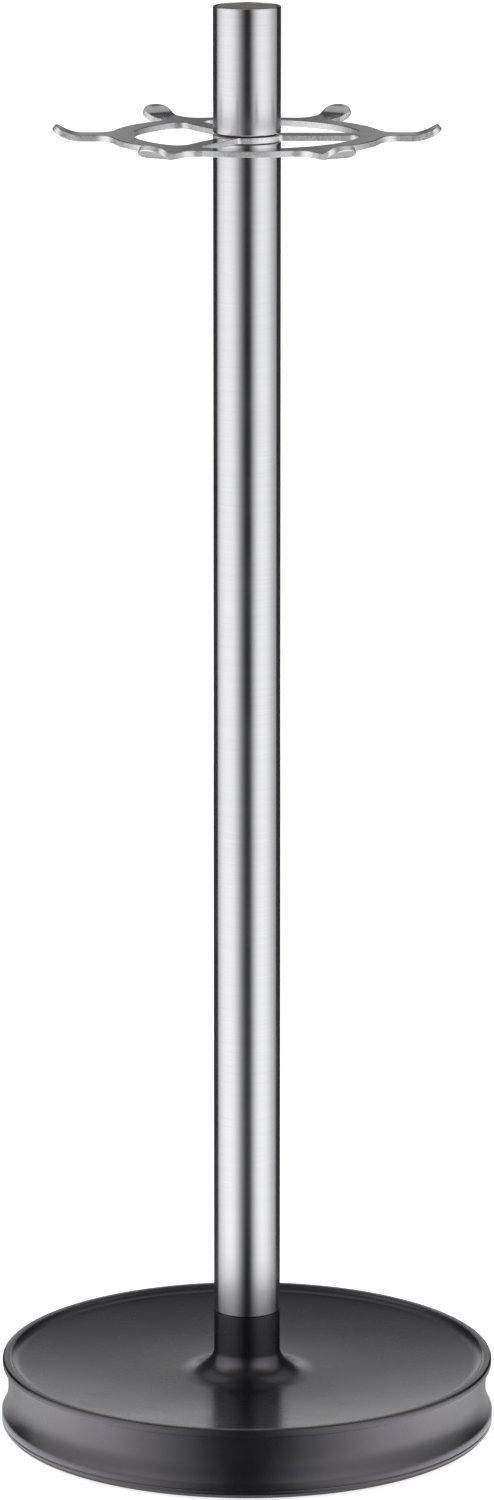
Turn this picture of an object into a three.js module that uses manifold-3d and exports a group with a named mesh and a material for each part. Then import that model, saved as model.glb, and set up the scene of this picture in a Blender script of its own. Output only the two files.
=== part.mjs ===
// A stand for kitchen utensils: a weighted dish-shaped base, a steel post, and a six-finger hook plate
// that turns freely between the post and a steel grip. Millimetres, +Z up. The origin is the centre of
// the foot ring's underside, so the stand rests on z = 0.

import * as THREE from "three";
import { mergeVertices } from "three/addons/utils/BufferGeometryUtils.js";
import Module from "manifold-3d";

const wasm = await Module();
wasm.setup();

// ---------------------------------------------------------------- driving dimensions

const GAP = 0.3; // clearance between pieces that touch
const TOTAL_HEIGHT = 465;

// Steel tube, used for the post and for the grip
const TUBE_RADIUS = 10.75;
const TUBE_WALL = 0.8;
const POST_BOTTOM = 39.2; // height of the post's lower end
const GRIP_LENGTH = 39.7;
const GRIP_EDGE = 0.6; // rounding of the grip's upper edge
const TUBE_EDGE = 0.2; // broken edge on every cut end

// Base moulding
const RIM_RADIUS = 80;
const RIM_TOP = 23.5; // height of the rim
const RIM_LAND = 1.8; // width of the narrow flat on the rim
const RIM_EDGE = 0.4; // rounding of the lip's outer edges
const LIP_HEIGHT = 2.7;
const LIP_OVERHANG = 1.1; // how far the lip stands out over the wall
const DISH_EDGE_CURVE = 6; // radius of the curve between the bowl and the rim
const DISH_EDGE_SLOPE = THREE.MathUtils.degToRad(50); // slope of that curve where it meets the rim
const BOWL_SLOPE = THREE.MathUtils.degToRad(8); // slope of the shallow bowl where that curve begins
const WAIST_INSET = 1.8; // how far the wall's narrowest line lies inside the rim
const WAIST_DROP = 10.1; // how far that line lies below the rim's top
const SKIRT_PROUD = 0.35; // how far the skirt stands out past the rim
const SKIRT_TOP = 5.5; // top of the skirt's upright band
const SKIRT_BOTTOM = 3.4; // bottom of that band
const SKIRT_TUCK = 1.15; // how far the skirt turns in below the band
const SKIRT_TUCK_HALFWAY = 0.35; // how far it has turned in halfway down
const SHELL_LIFT = 0.8; // height of the shell's lower edge above the table
const SHELL_WALL = 2.5;
const FLARE_OUT = 12; // how far the neck's foot spreads into the dish
const FLARE_UP = 8; // how far up the neck that spread begins
const NECK_ROOF = 5; // thickness of the wall that the bolt pulls down on
const SPIGOT_LENGTH = 6; // the part of the neck that enters the post

// Underside
const COVER_LIFT = 2.2; // height of the cover's underside
const COVER_THICKNESS = 2;
const COVER_HOLE = 9; // radius of the hole that reaches the post bolt
const FOOT_INSET = 1.3; // from the cover's edge to the foot ring
const FOOT_WIDTH = 5;
const BALLAST_BORE = 20;
const BALLAST_HEADROOM = 0.8; // free height between the ballast and the dish
const BALLAST_EDGE = 1;

// Cover screws
const SCREW_COUNT = 4;
const SCREW_INSET = 11.3; // from the cover's edge to the screw's axis
const SCREW_RADIUS = 1.5;
const SCREW_HEAD_RADIUS = 3;
const SCREW_HEAD_HEIGHT = 1.4;
const SCREW_LENGTH = 9;
const SCREW_TIP_RADIUS = 0.6;
const SCREW_HEAD_FACE = 2.1; // radius of the flat face of the head
const SCREW_HEAD_RIM = 0.55; // height of the head's upright rim
const BOSS_RADIUS = 3.6;
const BOSS_BITE = 0.8; // how far a boss runs into the wall of the dish
const BOSS_CLEARANCE = 1.4; // between the bosses and the ballast

// Post bolt and its washers
const BOLT_RADIUS = 3;
const BOLT_HEAD_RADIUS = 5;
const BOLT_HEAD_HEIGHT = 6;
const BOLT_GRIP = 22; // length of the bolt's thread inside the lower plug
const BOLT_SOCKET_RADIUS = 2.9; // to the corners of the hexagon socket
const BOLT_SOCKET_DEPTH = 3.2;
const BOLT_TIP = 1; // chamfer at the end of the bolt
const BOLT_WASHER_THICKNESS = 1.4;
const SPRING_WASHER_THICKNESS = 1.6;
const WASHER_CLEARANCE = 0.5; // between the washers and the neck's bore

// Plugs, journal and stud
const PLUG_LENGTH = 25;
const JOURNAL_RADIUS = 5;
const BUSH_WALL = 1.4;
const SLIDE_WASHER_THICKNESS = 0.8;
const STUD_RADIUS = 3;
const STUD_DEPTH_IN_PLUG = 20;
const STUD_DEPTH_IN_GRIP = 16;
const GRIP_PLUG_LENGTH = 20;
const END_DISC_THICKNESS = 3;
const END_DISC_RECESS = 0.1;

// Hook plate
const PLATE_THICKNESS = 2;
const SLIT_ABOVE_PLATE = 0.6; // between the plate and the grip
const SLIT_BELOW_PLATE = 0.35; // between the plate and the post
const FINGER_COUNT = 6;
const SPOKE_COUNT = 3;
const RING_OUTER = 43;
const RING_INNER = 36;
const SPOKE_WIDTH = 6;
const WINDOW_CORNER = 3.5; // corner radius of the windows at the ring
const HUB_FILLET = 1.5; // corner radius of the windows at the hub
const FINGER_FLAT = 9; // level length of a finger outside the ring
const FINGER_NECK = 8.4; // width of a finger's neck
const FINGER_FILLET = 6; // curve between a finger and the ring
const PADDLE_WIDTH = 9.4; // greatest width of a finger's tip
const PADDLE_OUT = 5.8; // from the start of the bend to the widest point
const BEND_RADIUS = 13; // to the middle of the sheet
const BEND_ANGLE = THREE.MathUtils.degToRad(40);
const TIP_STRAIGHT = 0.5; // straight end after the bend
const TIP_SQUARENESS = 0.62; // 0.55 rounds the tip like an ellipse, 1 makes it square
const TIP_MARGIN = 0.3; // how far the outline runs past the lower edge of the tip
const LEAST_NECK = 0.5; // straight length that a finger keeps before its tip widens
const STRIP_MARGIN = 2; // how far the bent strip runs past the outline on each side

// Facets
const WIDE_FACETS = 64;
const TUBE_FACETS = 48;
const SMALL_FACETS = 24;
const OVERCUT = 1; // how far a cutter runs out of the piece it cuts
const LEVEL = -Math.PI / 2; // angle at which an arc about a centre above it starts out level

// ---------------------------------------------------------------- sizes that follow

const tubeBore = TUBE_RADIUS - TUBE_WALL;
const plugRadius = tubeBore - GAP;

const gripBottom = TOTAL_HEIGHT - GRIP_LENGTH;
const plateTop = gripBottom - SLIT_ABOVE_PLATE;
const plateBottom = plateTop - PLATE_THICKNESS;
const postTop = plateBottom - SLIT_BELOW_PLATE;
const lowerSlideBottom = plateBottom - GAP - SLIDE_WASHER_THICKNESS;
const upperSlideBottom = plateTop + GAP;
const topPlugShoulder = lowerSlideBottom - GAP;
const journalTop = upperSlideBottom + SLIDE_WASHER_THICKNESS;
const gripPlugBottom = journalTop + GAP;
const bushBore = JOURNAL_RADIUS + GAP;
const bushRadius = bushBore + BUSH_WALL;
const plateBore = bushRadius + GAP;

const neckTop = POST_BOTTOM - GAP;
const neckBore = TUBE_RADIUS - SHELL_WALL;
const neckBoreTop = neckTop - NECK_ROOF;
const spigotTop = neckTop + SPIGOT_LENGTH;
const lowerPlugBottom = spigotTop + GAP;
const washerRadius = neckBore - WASHER_CLEARANCE;
const boltWasherBottom = neckBoreTop - GAP - BOLT_WASHER_THICKNESS;
const springWasherBottom = boltWasherBottom - GAP - SPRING_WASHER_THICKNESS;
const boltHeadTop = springWasherBottom - GAP;
const boltHeadBottom = boltHeadTop - BOLT_HEAD_HEIGHT;

const dishEdge = RIM_RADIUS - RIM_EDGE - RIM_LAND;
const bowlStart = TUBE_RADIUS + FLARE_OUT;
const bowlEnd = dishEdge - DISH_EDGE_CURVE * (Math.sin(DISH_EDGE_SLOPE) - Math.sin(BOWL_SLOPE));
const bowlTop = RIM_TOP - DISH_EDGE_CURVE * (Math.cos(BOWL_SLOPE) - Math.cos(DISH_EDGE_SLOPE));
const bowlRadius = (bowlEnd - bowlStart) / Math.sin(BOWL_SLOPE);
const dishFloor = bowlTop - bowlRadius * (1 - Math.cos(BOWL_SLOPE));
const bowlCentre = dishFloor + bowlRadius;
const dishUnderside = dishFloor - SHELL_WALL;
const waistRadius = RIM_RADIUS - WAIST_INSET;
const skirtRadius = RIM_RADIUS + SKIRT_PROUD;
const shellBore = waistRadius - SHELL_WALL;
const coverRadius = shellBore - GAP;
const coverTop = COVER_LIFT + COVER_THICKNESS;
const screwCircle = coverRadius - SCREW_INSET;
const bossBottom = coverTop + GAP;
const ballastRadius = screwCircle - BOSS_RADIUS - BOSS_CLEARANCE;
const ballastBottom = coverTop + GAP;
const ballastTop = dishUnderside - BALLAST_HEADROOM;
const footOuter = coverRadius - FOOT_INSET;
const footTop = COVER_LIFT - GAP;
const screwHeadTop = COVER_LIFT - GAP;

const bendStart = RING_OUTER + FINGER_FLAT;

// ---------------------------------------------------------------- geometry helpers

const at = (r, z) => new THREE.Vector2(r, z);
const ORIGIN = at(0, 0);

// Points along an arc, both ends included; angles in radians. A second radius makes it an ellipse.
function arc(cx, cy, radius, from, to, steps, upright = radius) {
  return Array.from({ length: steps + 1 }, (_, i) => {
    const angle = from + ((to - from) * i) / steps;
    return at(cx + radius * Math.cos(angle), cy + upright * Math.sin(angle));
  });
}

// Points along an arc that is upright at (r0, z0) and ends at (r1, z1), further out.
function flare(r0, z0, r1, z1, steps) {
  const out = r1 - r0;
  const rise = z1 - z0;
  const radius = (out * out + rise * rise) / (2 * out);
  const end = Math.PI - Math.asin(rise / radius);
  return arc(r0 + radius, z0, radius, Math.PI, end, steps);
}

const turned2d = (points, angle) => points.map((p) => p.clone().rotateAround(ORIGIN, angle));
const mirrored2d = (points) => points.map((p) => at(p.x, -p.y)).reverse();

// A solid of revolution about Z from a closed profile of (radius, height) points.
function turned(profile, facets) {
  const anticlockwise = THREE.ShapeUtils.area(profile) > 0;
  const outline = anticlockwise ? [...profile] : [...profile].reverse();
  const start = outline.findIndex((p) => p.x === 0);
  const closed = start < 0 ? [...outline, outline[0]] : openAtAxis(outline);
  return new THREE.LatheGeometry(closed, facets).rotateX(Math.PI / 2);
}

// Starts a profile that touches the axis at its lower axis point, so that it ends at the upper one.
function openAtAxis(outline) {
  const lowest = outline.reduce((best, p, i) => {
    return p.x === 0 && (best < 0 || p.y < outline[best].y) ? i : best;
  }, -1);
  return [...outline.slice(lowest), ...outline.slice(0, lowest)];
}

// A tube or washer with a square section, standing on z = 0.
function sleeve(inner, outer, height, facets) {
  return turned([at(inner, 0), at(outer, 0), at(outer, height), at(inner, height)], facets);
}

// A round bar standing on z = 0.
function bar(radius, height, facets) {
  return turned([at(0, 0), at(radius, 0), at(radius, height), at(0, height)], facets);
}

function toSolid(geometry) {
  const bare = geometry.index ? geometry.toNonIndexed() : geometry.clone();
  bare.deleteAttribute("normal");
  bare.deleteAttribute("uv");
  const merged = mergeVertices(bare, 1e-4);
  const corners = merged.index.array;
  const kept = [];
  for (let i = 0; i < corners.length; i += 3) {
    const [a, b, c] = [corners[i], corners[i + 1], corners[i + 2]];
    if (a !== b && b !== c && c !== a) kept.push(a, b, c);
  }
  const mesh = new wasm.Mesh({
    numProp: 3,
    vertProperties: new Float32Array(merged.attributes.position.array),
    triVerts: new Uint32Array(kept),
  });
  return new wasm.Manifold(mesh);
}

function toGeometry(solid) {
  const mesh = solid.getMesh();
  const geometry = new THREE.BufferGeometry();
  geometry.setAttribute("position", new THREE.BufferAttribute(mesh.vertProperties, 3));
  geometry.setIndex(new THREE.BufferAttribute(mesh.triVerts, 1));
  const faceted = geometry.toNonIndexed();
  faceted.computeVertexNormals();
  return faceted;
}

// Calls make(i, angle) for each of count places evenly spaced about Z.
function around(count, make) {
  return Array.from({ length: count }, (_, i) => make(i, (2 * Math.PI * i) / count));
}

// ---------------------------------------------------------------- base

// The moulding's section, from the spigot's bore over the dish and down the wall, then back inside.
function baseSection() {
  const foot = arc(bowlStart, dishFloor + FLARE_UP, FLARE_OUT, -Math.PI, LEVEL, 6, FLARE_UP);
  const bowl = arc(bowlStart, bowlCentre, bowlRadius, LEVEL, LEVEL + BOWL_SLOPE, 6);
  const edgeCentre = dishEdge - DISH_EDGE_CURVE * Math.sin(DISH_EDGE_SLOPE);
  const edge = arc(
    edgeCentre, RIM_TOP + DISH_EDGE_CURVE * Math.cos(DISH_EDGE_SLOPE), DISH_EDGE_CURVE,
    LEVEL + BOWL_SLOPE, LEVEL + DISH_EDGE_SLOPE, 5,
  );
  const lipBottom = RIM_TOP - LIP_HEIGHT;
  const lip = [
    ...arc(RIM_RADIUS - RIM_EDGE, RIM_TOP - RIM_EDGE, RIM_EDGE, Math.PI / 2, 0, 2),
    ...arc(RIM_RADIUS - RIM_EDGE, lipBottom + RIM_EDGE, RIM_EDGE, 0, -Math.PI / 2, 2),
  ];
  const waistHeight = RIM_TOP - WAIST_DROP;
  const upperWall = flare(waistRadius, waistHeight, RIM_RADIUS - LIP_OVERHANG, lipBottom, 3);
  const lowerWall = flare(waistRadius, waistHeight, skirtRadius, SKIRT_TOP, 5);
  const skirt = [
    at(skirtRadius, SKIRT_BOTTOM),
    at(skirtRadius - SKIRT_TUCK_HALFWAY, (SKIRT_BOTTOM + SHELL_LIFT) / 2),
    at(skirtRadius - SKIRT_TUCK, SHELL_LIFT),
  ];
  const underRadius = bowlRadius + SHELL_WALL;
  const underSlope = Math.asin((shellBore - bowlStart) / underRadius);
  const underBowl = arc(bowlStart, bowlCentre, underRadius, LEVEL + underSlope, LEVEL, 6);
  const underNeck = arc(
    bowlStart, dishFloor + FLARE_UP, bowlStart - neckBore, LEVEL, -Math.PI, 4, FLARE_UP + SHELL_WALL,
  );
  return [
    at(BOLT_RADIUS + GAP, spigotTop), at(plugRadius, spigotTop), at(plugRadius, neckTop),
    at(TUBE_RADIUS, neckTop), ...foot, ...bowl.slice(1), ...edge.slice(1), ...lip,
    ...upperWall.reverse(), ...lowerWall.slice(1), ...skirt, at(shellBore, SHELL_LIFT),
    ...underBowl, ...underNeck.slice(1), at(neckBore, neckBoreTop),
    at(BOLT_RADIUS + GAP, neckBoreTop),
  ];
}

// Height of the dish's underside at a radius.
function undersideAt(radius) {
  const out = radius - bowlStart;
  return bowlCentre - Math.sqrt((bowlRadius + SHELL_WALL) ** 2 - out ** 2);
}

function baseShell() {
  let shell = toSolid(turned(baseSection(), WIDE_FACETS));
  const bossHeight = undersideAt(screwCircle) + BOSS_BITE - bossBottom;
  const places = around(SCREW_COUNT, (i, angle) => at(screwCircle, 0).rotateAround(ORIGIN, angle));
  for (const place of places) {
    const boss = bar(BOSS_RADIUS, bossHeight, SMALL_FACETS).translate(place.x, place.y, bossBottom);
    shell = shell.add(toSolid(boss));
  }
  for (const place of places) {
    const hole = bar(SCREW_RADIUS + GAP, SCREW_LENGTH, SMALL_FACETS);
    shell = shell.subtract(toSolid(hole.translate(place.x, place.y, bossBottom - OVERCUT)));
  }
  return toGeometry(shell);
}

function baseCover() {
  let cover = toSolid(sleeve(COVER_HOLE, coverRadius, COVER_THICKNESS, WIDE_FACETS));
  around(SCREW_COUNT, (i, angle) => {
    const place = at(screwCircle, 0).rotateAround(ORIGIN, angle);
    const hole = bar(SCREW_RADIUS + GAP, COVER_THICKNESS + 2 * OVERCUT, SMALL_FACETS);
    cover = cover.subtract(toSolid(hole.translate(place.x, place.y, -OVERCUT)));
  });
  return toGeometry(cover);
}

function ballastRing() {
  const height = ballastTop - ballastBottom;
  return turned([
    at(BALLAST_BORE, 0), at(ballastRadius, 0), at(ballastRadius, height - BALLAST_EDGE),
    at(ballastRadius - BALLAST_EDGE, height), at(BALLAST_BORE, height),
  ], WIDE_FACETS);
}

// A pan-head screw; z = 0 is the underside of its head's rim, and the shank points up.
function coverScrew() {
  return turned([
    at(0, -SCREW_HEAD_HEIGHT), at(SCREW_HEAD_FACE, -SCREW_HEAD_HEIGHT),
    at(SCREW_HEAD_RADIUS, -SCREW_HEAD_RIM), at(SCREW_HEAD_RADIUS, 0),
    at(SCREW_RADIUS, 0), at(SCREW_RADIUS, SCREW_LENGTH - SCREW_RADIUS),
    at(SCREW_TIP_RADIUS, SCREW_LENGTH), at(0, SCREW_LENGTH),
  ], SMALL_FACETS);
}

// A socket-head bolt; z = 0 is the underside of its head, and the shank points up.
function postBolt() {
  const shank = lowerPlugBottom + BOLT_GRIP - boltHeadBottom;
  const body = turned([
    at(0, 0), at(BOLT_HEAD_RADIUS, 0), at(BOLT_HEAD_RADIUS, BOLT_HEAD_HEIGHT),
    at(BOLT_RADIUS, BOLT_HEAD_HEIGHT), at(BOLT_RADIUS, shank - BOLT_TIP),
    at(BOLT_RADIUS - BOLT_TIP, shank), at(0, shank),
  ], SMALL_FACETS);
  const socket = bar(BOLT_SOCKET_RADIUS, BOLT_SOCKET_DEPTH + OVERCUT, 6);
  return toGeometry(toSolid(body).subtract(toSolid(socket.translate(0, 0, -OVERCUT))));
}

// ---------------------------------------------------------------- post and grip

// A cut length of tube with its edges broken, and its upper outer edge rounded to topEdge.
function tube(length, topEdge) {
  return turned([
    at(tubeBore, 0), at(TUBE_RADIUS - TUBE_EDGE, 0), at(TUBE_RADIUS, TUBE_EDGE),
    ...arc(TUBE_RADIUS - topEdge, length - topEdge, topEdge, 0, Math.PI / 2, 3),
    at(tubeBore, length),
  ], TUBE_FACETS);
}

// The upper plug with the journal that the hook plate turns on, bored for the stud.
function topPlug() {
  const bottom = topPlugShoulder - PLUG_LENGTH;
  const shoulder = PLUG_LENGTH;
  const top = journalTop - bottom;
  const boreBottom = top - STUD_DEPTH_IN_PLUG - GAP;
  return turned([
    at(0, 0), at(plugRadius, 0), at(plugRadius, shoulder), at(JOURNAL_RADIUS, shoulder),
    at(JOURNAL_RADIUS, top), at(STUD_RADIUS + GAP, top), at(STUD_RADIUS + GAP, boreBottom),
    at(0, boreBottom),
  ], SMALL_FACETS * 2);
}

// ---------------------------------------------------------------- hook plate

// One side of a finger in its own frame, x outwards: ring, neck, paddle and tip.
function fingerSide() {
  const neckHalf = FINGER_NECK / 2;
  const paddleHalf = PADDLE_WIDTH / 2;
  const filletY = neckHalf + FINGER_FILLET;
  const filletX = Math.sqrt((RING_OUTER + FINGER_FILLET) ** 2 - filletY ** 2);
  const rootAngle = Math.atan2(filletY, filletX);
  const neckEnd = Math.max(bendStart, filletX + LEAST_NECK);
  const paddleX = neckEnd + PADDLE_OUT;
  const tipX = fingerReach() + TIP_MARGIN;
  const third = (paddleX - neckEnd) / 3;
  const widening = new THREE.CubicBezierCurve(
    at(neckEnd, neckHalf), at(neckEnd + third, neckHalf),
    at(paddleX - third, paddleHalf), at(paddleX, paddleHalf),
  );
  const tip = new THREE.CubicBezierCurve(
    at(paddleX, paddleHalf), at(paddleX + (tipX - paddleX) * TIP_SQUARENESS, paddleHalf),
    at(tipX, paddleHalf * TIP_SQUARENESS), at(tipX, 0),
  );
  const points = [
    ...arc(filletX, filletY, FINGER_FILLET, rootAngle - Math.PI, LEVEL, 6),
    ...widening.getPoints(4),
    ...tip.getPoints(6).slice(1),
  ];
  return { points, rootAngle };
}

// How far a finger reaches from the axis, measured to the lower edge of its tip.
function fingerReach() {
  const curve = (BEND_RADIUS + PLATE_THICKNESS / 2) * Math.sin(BEND_ANGLE);
  return bendStart + curve + TIP_STRAIGHT * Math.cos(BEND_ANGLE);
}

// The outline of the whole plate seen from above, anticlockwise.
function plateOutline() {
  const { points, rootAngle } = fingerSide();
  const pitch = (2 * Math.PI) / FINGER_COUNT;
  const finger = [...mirrored2d(points).reverse(), ...[...points].reverse().slice(1)];
  const ring = arc(0, 0, RING_OUTER, rootAngle, pitch - rootAngle, 6).slice(1, -1);
  return around(FINGER_COUNT, (i, angle) => turned2d([...finger, ...ring], angle)).flat();
}

// The window between one spoke, at the given angle, and the next.
function plateWindow(angle) {
  const half = SPOKE_WIDTH / 2;
  const hubY = half + HUB_FILLET;
  const hubX = Math.sqrt((TUBE_RADIUS + HUB_FILLET) ** 2 - hubY ** 2);
  const cornerY = half + WINDOW_CORNER;
  const cornerX = Math.sqrt((RING_INNER - WINDOW_CORNER) ** 2 - cornerY ** 2);
  const side = [
    ...arc(hubX, hubY, HUB_FILLET, Math.atan2(-hubY, -hubX), LEVEL, 4),
    ...arc(cornerX, cornerY, WINDOW_CORNER, LEVEL, Math.atan2(cornerY, cornerX), 6),
  ];
  const pitch = (2 * Math.PI) / SPOKE_COUNT;
  const cornerAngle = Math.atan2(cornerY, cornerX);
  const hubAngle = Math.atan2(hubY, hubX);
  return turned2d([
    ...side,
    ...arc(0, 0, RING_INNER, cornerAngle, pitch - cornerAngle, 12).slice(1, -1),
    ...turned2d(mirrored2d(side), pitch),
    ...arc(0, 0, TUBE_RADIUS, pitch - hubAngle, hubAngle, 6).slice(1, -1),
  ], angle);
}

// A bent strip of sheet for one finger, its middle at z = 0 where it is level.
function fingerStrip() {
  const half = PLATE_THICKNESS / 2;
  const width = PADDLE_WIDTH + 2 * STRIP_MARGIN;
  const bent = (radius, from, to) => arc(bendStart, BEND_RADIUS, radius, from, to, 8);
  const raised = LEVEL + BEND_ANGLE;
  const run = at(Math.cos(BEND_ANGLE), Math.sin(BEND_ANGLE)).multiplyScalar(TIP_STRAIGHT);
  const lower = bent(BEND_RADIUS + half, LEVEL, raised);
  const upper = bent(BEND_RADIUS - half, raised, LEVEL);
  const profile = [
    at(RING_INNER, -half), ...lower, lower.at(-1).clone().add(run),
    upper[0].clone().add(run), ...upper, at(RING_INNER, half),
  ];
  const strip = new THREE.ExtrudeGeometry(new THREE.Shape(profile), {
    depth: width, bevelEnabled: false,
  });
  return strip.rotateX(Math.PI / 2).translate(0, width / 2, 0);
}

// Flat sheet with bent fingers, cut to the outline; z = 0 is the level part's underside.
function hookPlate() {
  const disc = bar(bendStart, PLATE_THICKNESS, WIDE_FACETS).translate(0, 0, -PLATE_THICKNESS / 2);
  let sheet = toSolid(disc);
  around(FINGER_COUNT, (i, angle) => {
    sheet = sheet.add(toSolid(fingerStrip().rotateZ(angle)));
  });
  const outline = new THREE.Shape(plateOutline());
  outline.holes = around(SPOKE_COUNT, (i, angle) => new THREE.Path(plateWindow(angle)));
  outline.holes.push(new THREE.Path(arc(0, 0, plateBore, 0, 2 * Math.PI, SMALL_FACETS).slice(1)));
  const cutter = new THREE.ExtrudeGeometry(outline, {
    depth: BEND_RADIUS * 2 + PLATE_THICKNESS, bevelEnabled: false,
  }).translate(0, 0, -PLATE_THICKNESS);
  const plate = sheet.intersect(toSolid(cutter));
  return toGeometry(plate).translate(0, 0, PLATE_THICKNESS / 2);
}

// ---------------------------------------------------------------- materials

const finish = (color, roughness, metalness) => {
  return new THREE.MeshStandardMaterial({ color, roughness, metalness });
};
const brushedSteel = () => finish(0xc9c9cb, 0.32, 1);
const blastedSteel = () => finish(0xa9aaac, 0.45, 1);
const zincSteel = () => finish(0xb4b6b8, 0.4, 1);
const castIron = () => finish(0x4b4b4d, 0.7, 0.8);
const blackMoulding = () => finish(0x19191b, 0.45, 0);
const blackPlate = () => finish(0x141415, 0.6, 0);
const softFoot = () => finish(0x202022, 0.85, 0);
const naturalNylon = () => finish(0xe6e2d6, 0.5, 0);

// ---------------------------------------------------------------- assembly

const stand = new THREE.Group();

function group(z) {
  const made = new THREE.Group();
  made.position.z = z;
  stand.add(made);
  return made;
}

// Adds a named piece to a group, its own z = 0 at height z in the stand.
function place(parent, name, geometry, material, z) {
  const mesh = new THREE.Mesh(geometry, material);
  mesh.name = name;
  mesh.position.z = z - parent.position.z;
  parent.add(mesh);
  return mesh;
}

const base = group(0);
place(base, "base_shell", baseShell(), blackMoulding(), 0);
place(base, "ballast_ring", ballastRing(), castIron(), ballastBottom);
place(base, "base_cover", baseCover(), blackPlate(), COVER_LIFT);
const footRing = sleeve(footOuter - FOOT_WIDTH, footOuter, footTop, WIDE_FACETS);
place(base, "foot_ring", footRing, softFoot(), 0);
around(SCREW_COUNT, (i, angle) => {
  const screw = place(base, `cover_screw_${i + 1}`, coverScrew(), zincSteel(), screwHeadTop);
  screw.position.x = screwCircle * Math.cos(angle);
  screw.position.y = screwCircle * Math.sin(angle);
});

const joint = group(boltHeadBottom);
place(joint, "post_bolt", postBolt(), zincSteel(), boltHeadBottom);
const springWasher = sleeve(
  BOLT_RADIUS + GAP, BOLT_HEAD_RADIUS, SPRING_WASHER_THICKNESS, SMALL_FACETS,
);
place(joint, "bolt_spring_washer", springWasher, zincSteel(), springWasherBottom);
const boltWasher = sleeve(BOLT_RADIUS + GAP, washerRadius, BOLT_WASHER_THICKNESS, SMALL_FACETS);
place(joint, "bolt_washer", boltWasher, zincSteel(), boltWasherBottom);

const post = group(POST_BOTTOM);
place(post, "post_tube", tube(postTop - POST_BOTTOM, TUBE_EDGE), brushedSteel(), POST_BOTTOM);
const lowerPlug = sleeve(BOLT_RADIUS + GAP, plugRadius, PLUG_LENGTH, TUBE_FACETS);
place(post, "post_bottom_plug", lowerPlug, zincSteel(), lowerPlugBottom);
place(post, "post_top_plug", topPlug(), zincSteel(), topPlugShoulder - PLUG_LENGTH);
const slideWasher = () => sleeve(bushBore, plugRadius, SLIDE_WASHER_THICKNESS, TUBE_FACETS);
place(post, "lower_slide_washer", slideWasher(), naturalNylon(), lowerSlideBottom);
place(post, "upper_slide_washer", slideWasher(), naturalNylon(), upperSlideBottom);

const carousel = group(plateBottom);
place(carousel, "hook_plate", hookPlate(), blastedSteel(), plateBottom);
const bush = sleeve(bushBore, bushRadius, PLATE_THICKNESS, SMALL_FACETS);
place(carousel, "hub_bush", bush, naturalNylon(), plateBottom);

const grip = group(gripBottom);
place(grip, "grip_tube", tube(GRIP_LENGTH, GRIP_EDGE), brushedSteel(), gripBottom);
const gripPlug = sleeve(STUD_RADIUS + GAP, plugRadius, GRIP_PLUG_LENGTH, TUBE_FACETS);
place(grip, "grip_plug", gripPlug, zincSteel(), gripPlugBottom);
const studLength = STUD_DEPTH_IN_PLUG + GAP + STUD_DEPTH_IN_GRIP;
place(
  grip, "grip_stud", bar(STUD_RADIUS, studLength, SMALL_FACETS), zincSteel(),
  journalTop - STUD_DEPTH_IN_PLUG,
);
const endDisc = bar(plugRadius, END_DISC_THICKNESS, TUBE_FACETS);
const endDiscBottom = TOTAL_HEIGHT - END_DISC_RECESS - END_DISC_THICKNESS;
place(grip, "grip_end_disc", endDisc, brushedSteel(), endDiscBottom);

export default stand;
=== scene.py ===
# %% [markdown]
# # A stand for kitchen utensils
# The stand has a black dish-shaped base, a steel post, and a six-hook wheel that turns between the post
# and a short steel grip. Every moving and bearing part was drawn in CAD first. This lesson puts the
# finished surfaces on that frame: turned parts from outlines, the bent wheel, the threads and the circle
# of screws from Geometry Nodes, and one material for each way that a real surface is made.

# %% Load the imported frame
import math

import bpy
import bmesh
import numpy as np
from mathutils import Matrix, Vector


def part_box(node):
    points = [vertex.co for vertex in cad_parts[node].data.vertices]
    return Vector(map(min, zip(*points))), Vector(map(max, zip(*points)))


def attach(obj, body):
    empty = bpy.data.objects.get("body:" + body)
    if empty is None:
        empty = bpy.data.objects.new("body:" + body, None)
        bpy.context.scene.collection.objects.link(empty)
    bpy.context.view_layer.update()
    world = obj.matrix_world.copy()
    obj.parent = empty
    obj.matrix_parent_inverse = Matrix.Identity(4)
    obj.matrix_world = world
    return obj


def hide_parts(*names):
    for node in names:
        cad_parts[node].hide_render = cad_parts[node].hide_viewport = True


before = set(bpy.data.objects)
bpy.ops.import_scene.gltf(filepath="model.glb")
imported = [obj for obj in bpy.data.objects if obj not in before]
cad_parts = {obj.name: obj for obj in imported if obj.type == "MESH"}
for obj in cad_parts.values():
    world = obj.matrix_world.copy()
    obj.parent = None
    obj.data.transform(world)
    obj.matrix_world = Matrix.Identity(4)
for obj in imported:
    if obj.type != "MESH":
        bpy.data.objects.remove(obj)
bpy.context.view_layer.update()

MM = 0.001

# %% [markdown]
# ## Sizes from the frame
# Most pieces are round about the post, so four numbers describe them: the inner and outer radius, and the
# lower and upper height. They could be typed in again from a drawing, but then the two models would drift
# apart. Reading them from the CAD node keeps each finished piece in the place the frame gives it.


# %% Read a round node
def node_points(node):
    """Radius and height of every point of a CAD node about the Z axis, in mm."""
    points = np.array([v.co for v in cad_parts[node].data.vertices]) / MM
    return np.hypot(points[:, 0], points[:, 1]), points[:, 2]


def round_node(node):
    """Inner radius, outer radius, lowest and highest point of a CAD node, in mm."""
    radii, heights = node_points(node)
    return radii.min(), radii.max(), heights.min(), heights.max()


CLEARANCE = 0.3
NEAR = 0.1
tube_bore, tube_radius, post_bottom, post_top = round_node("post_tube")
grip_bottom, grip_top = round_node("grip_tube")[2:]
plate_bottom, plate_top = (corner.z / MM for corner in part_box("hub_bush"))
cover_bottom, cover_top = round_node("base_cover")[2:]
stud_radius = round_node("grip_stud")[1]
print(f"tube {2 * tube_radius:.1f} mm across, post {post_bottom:.1f} to {post_top:.1f} mm")

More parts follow.
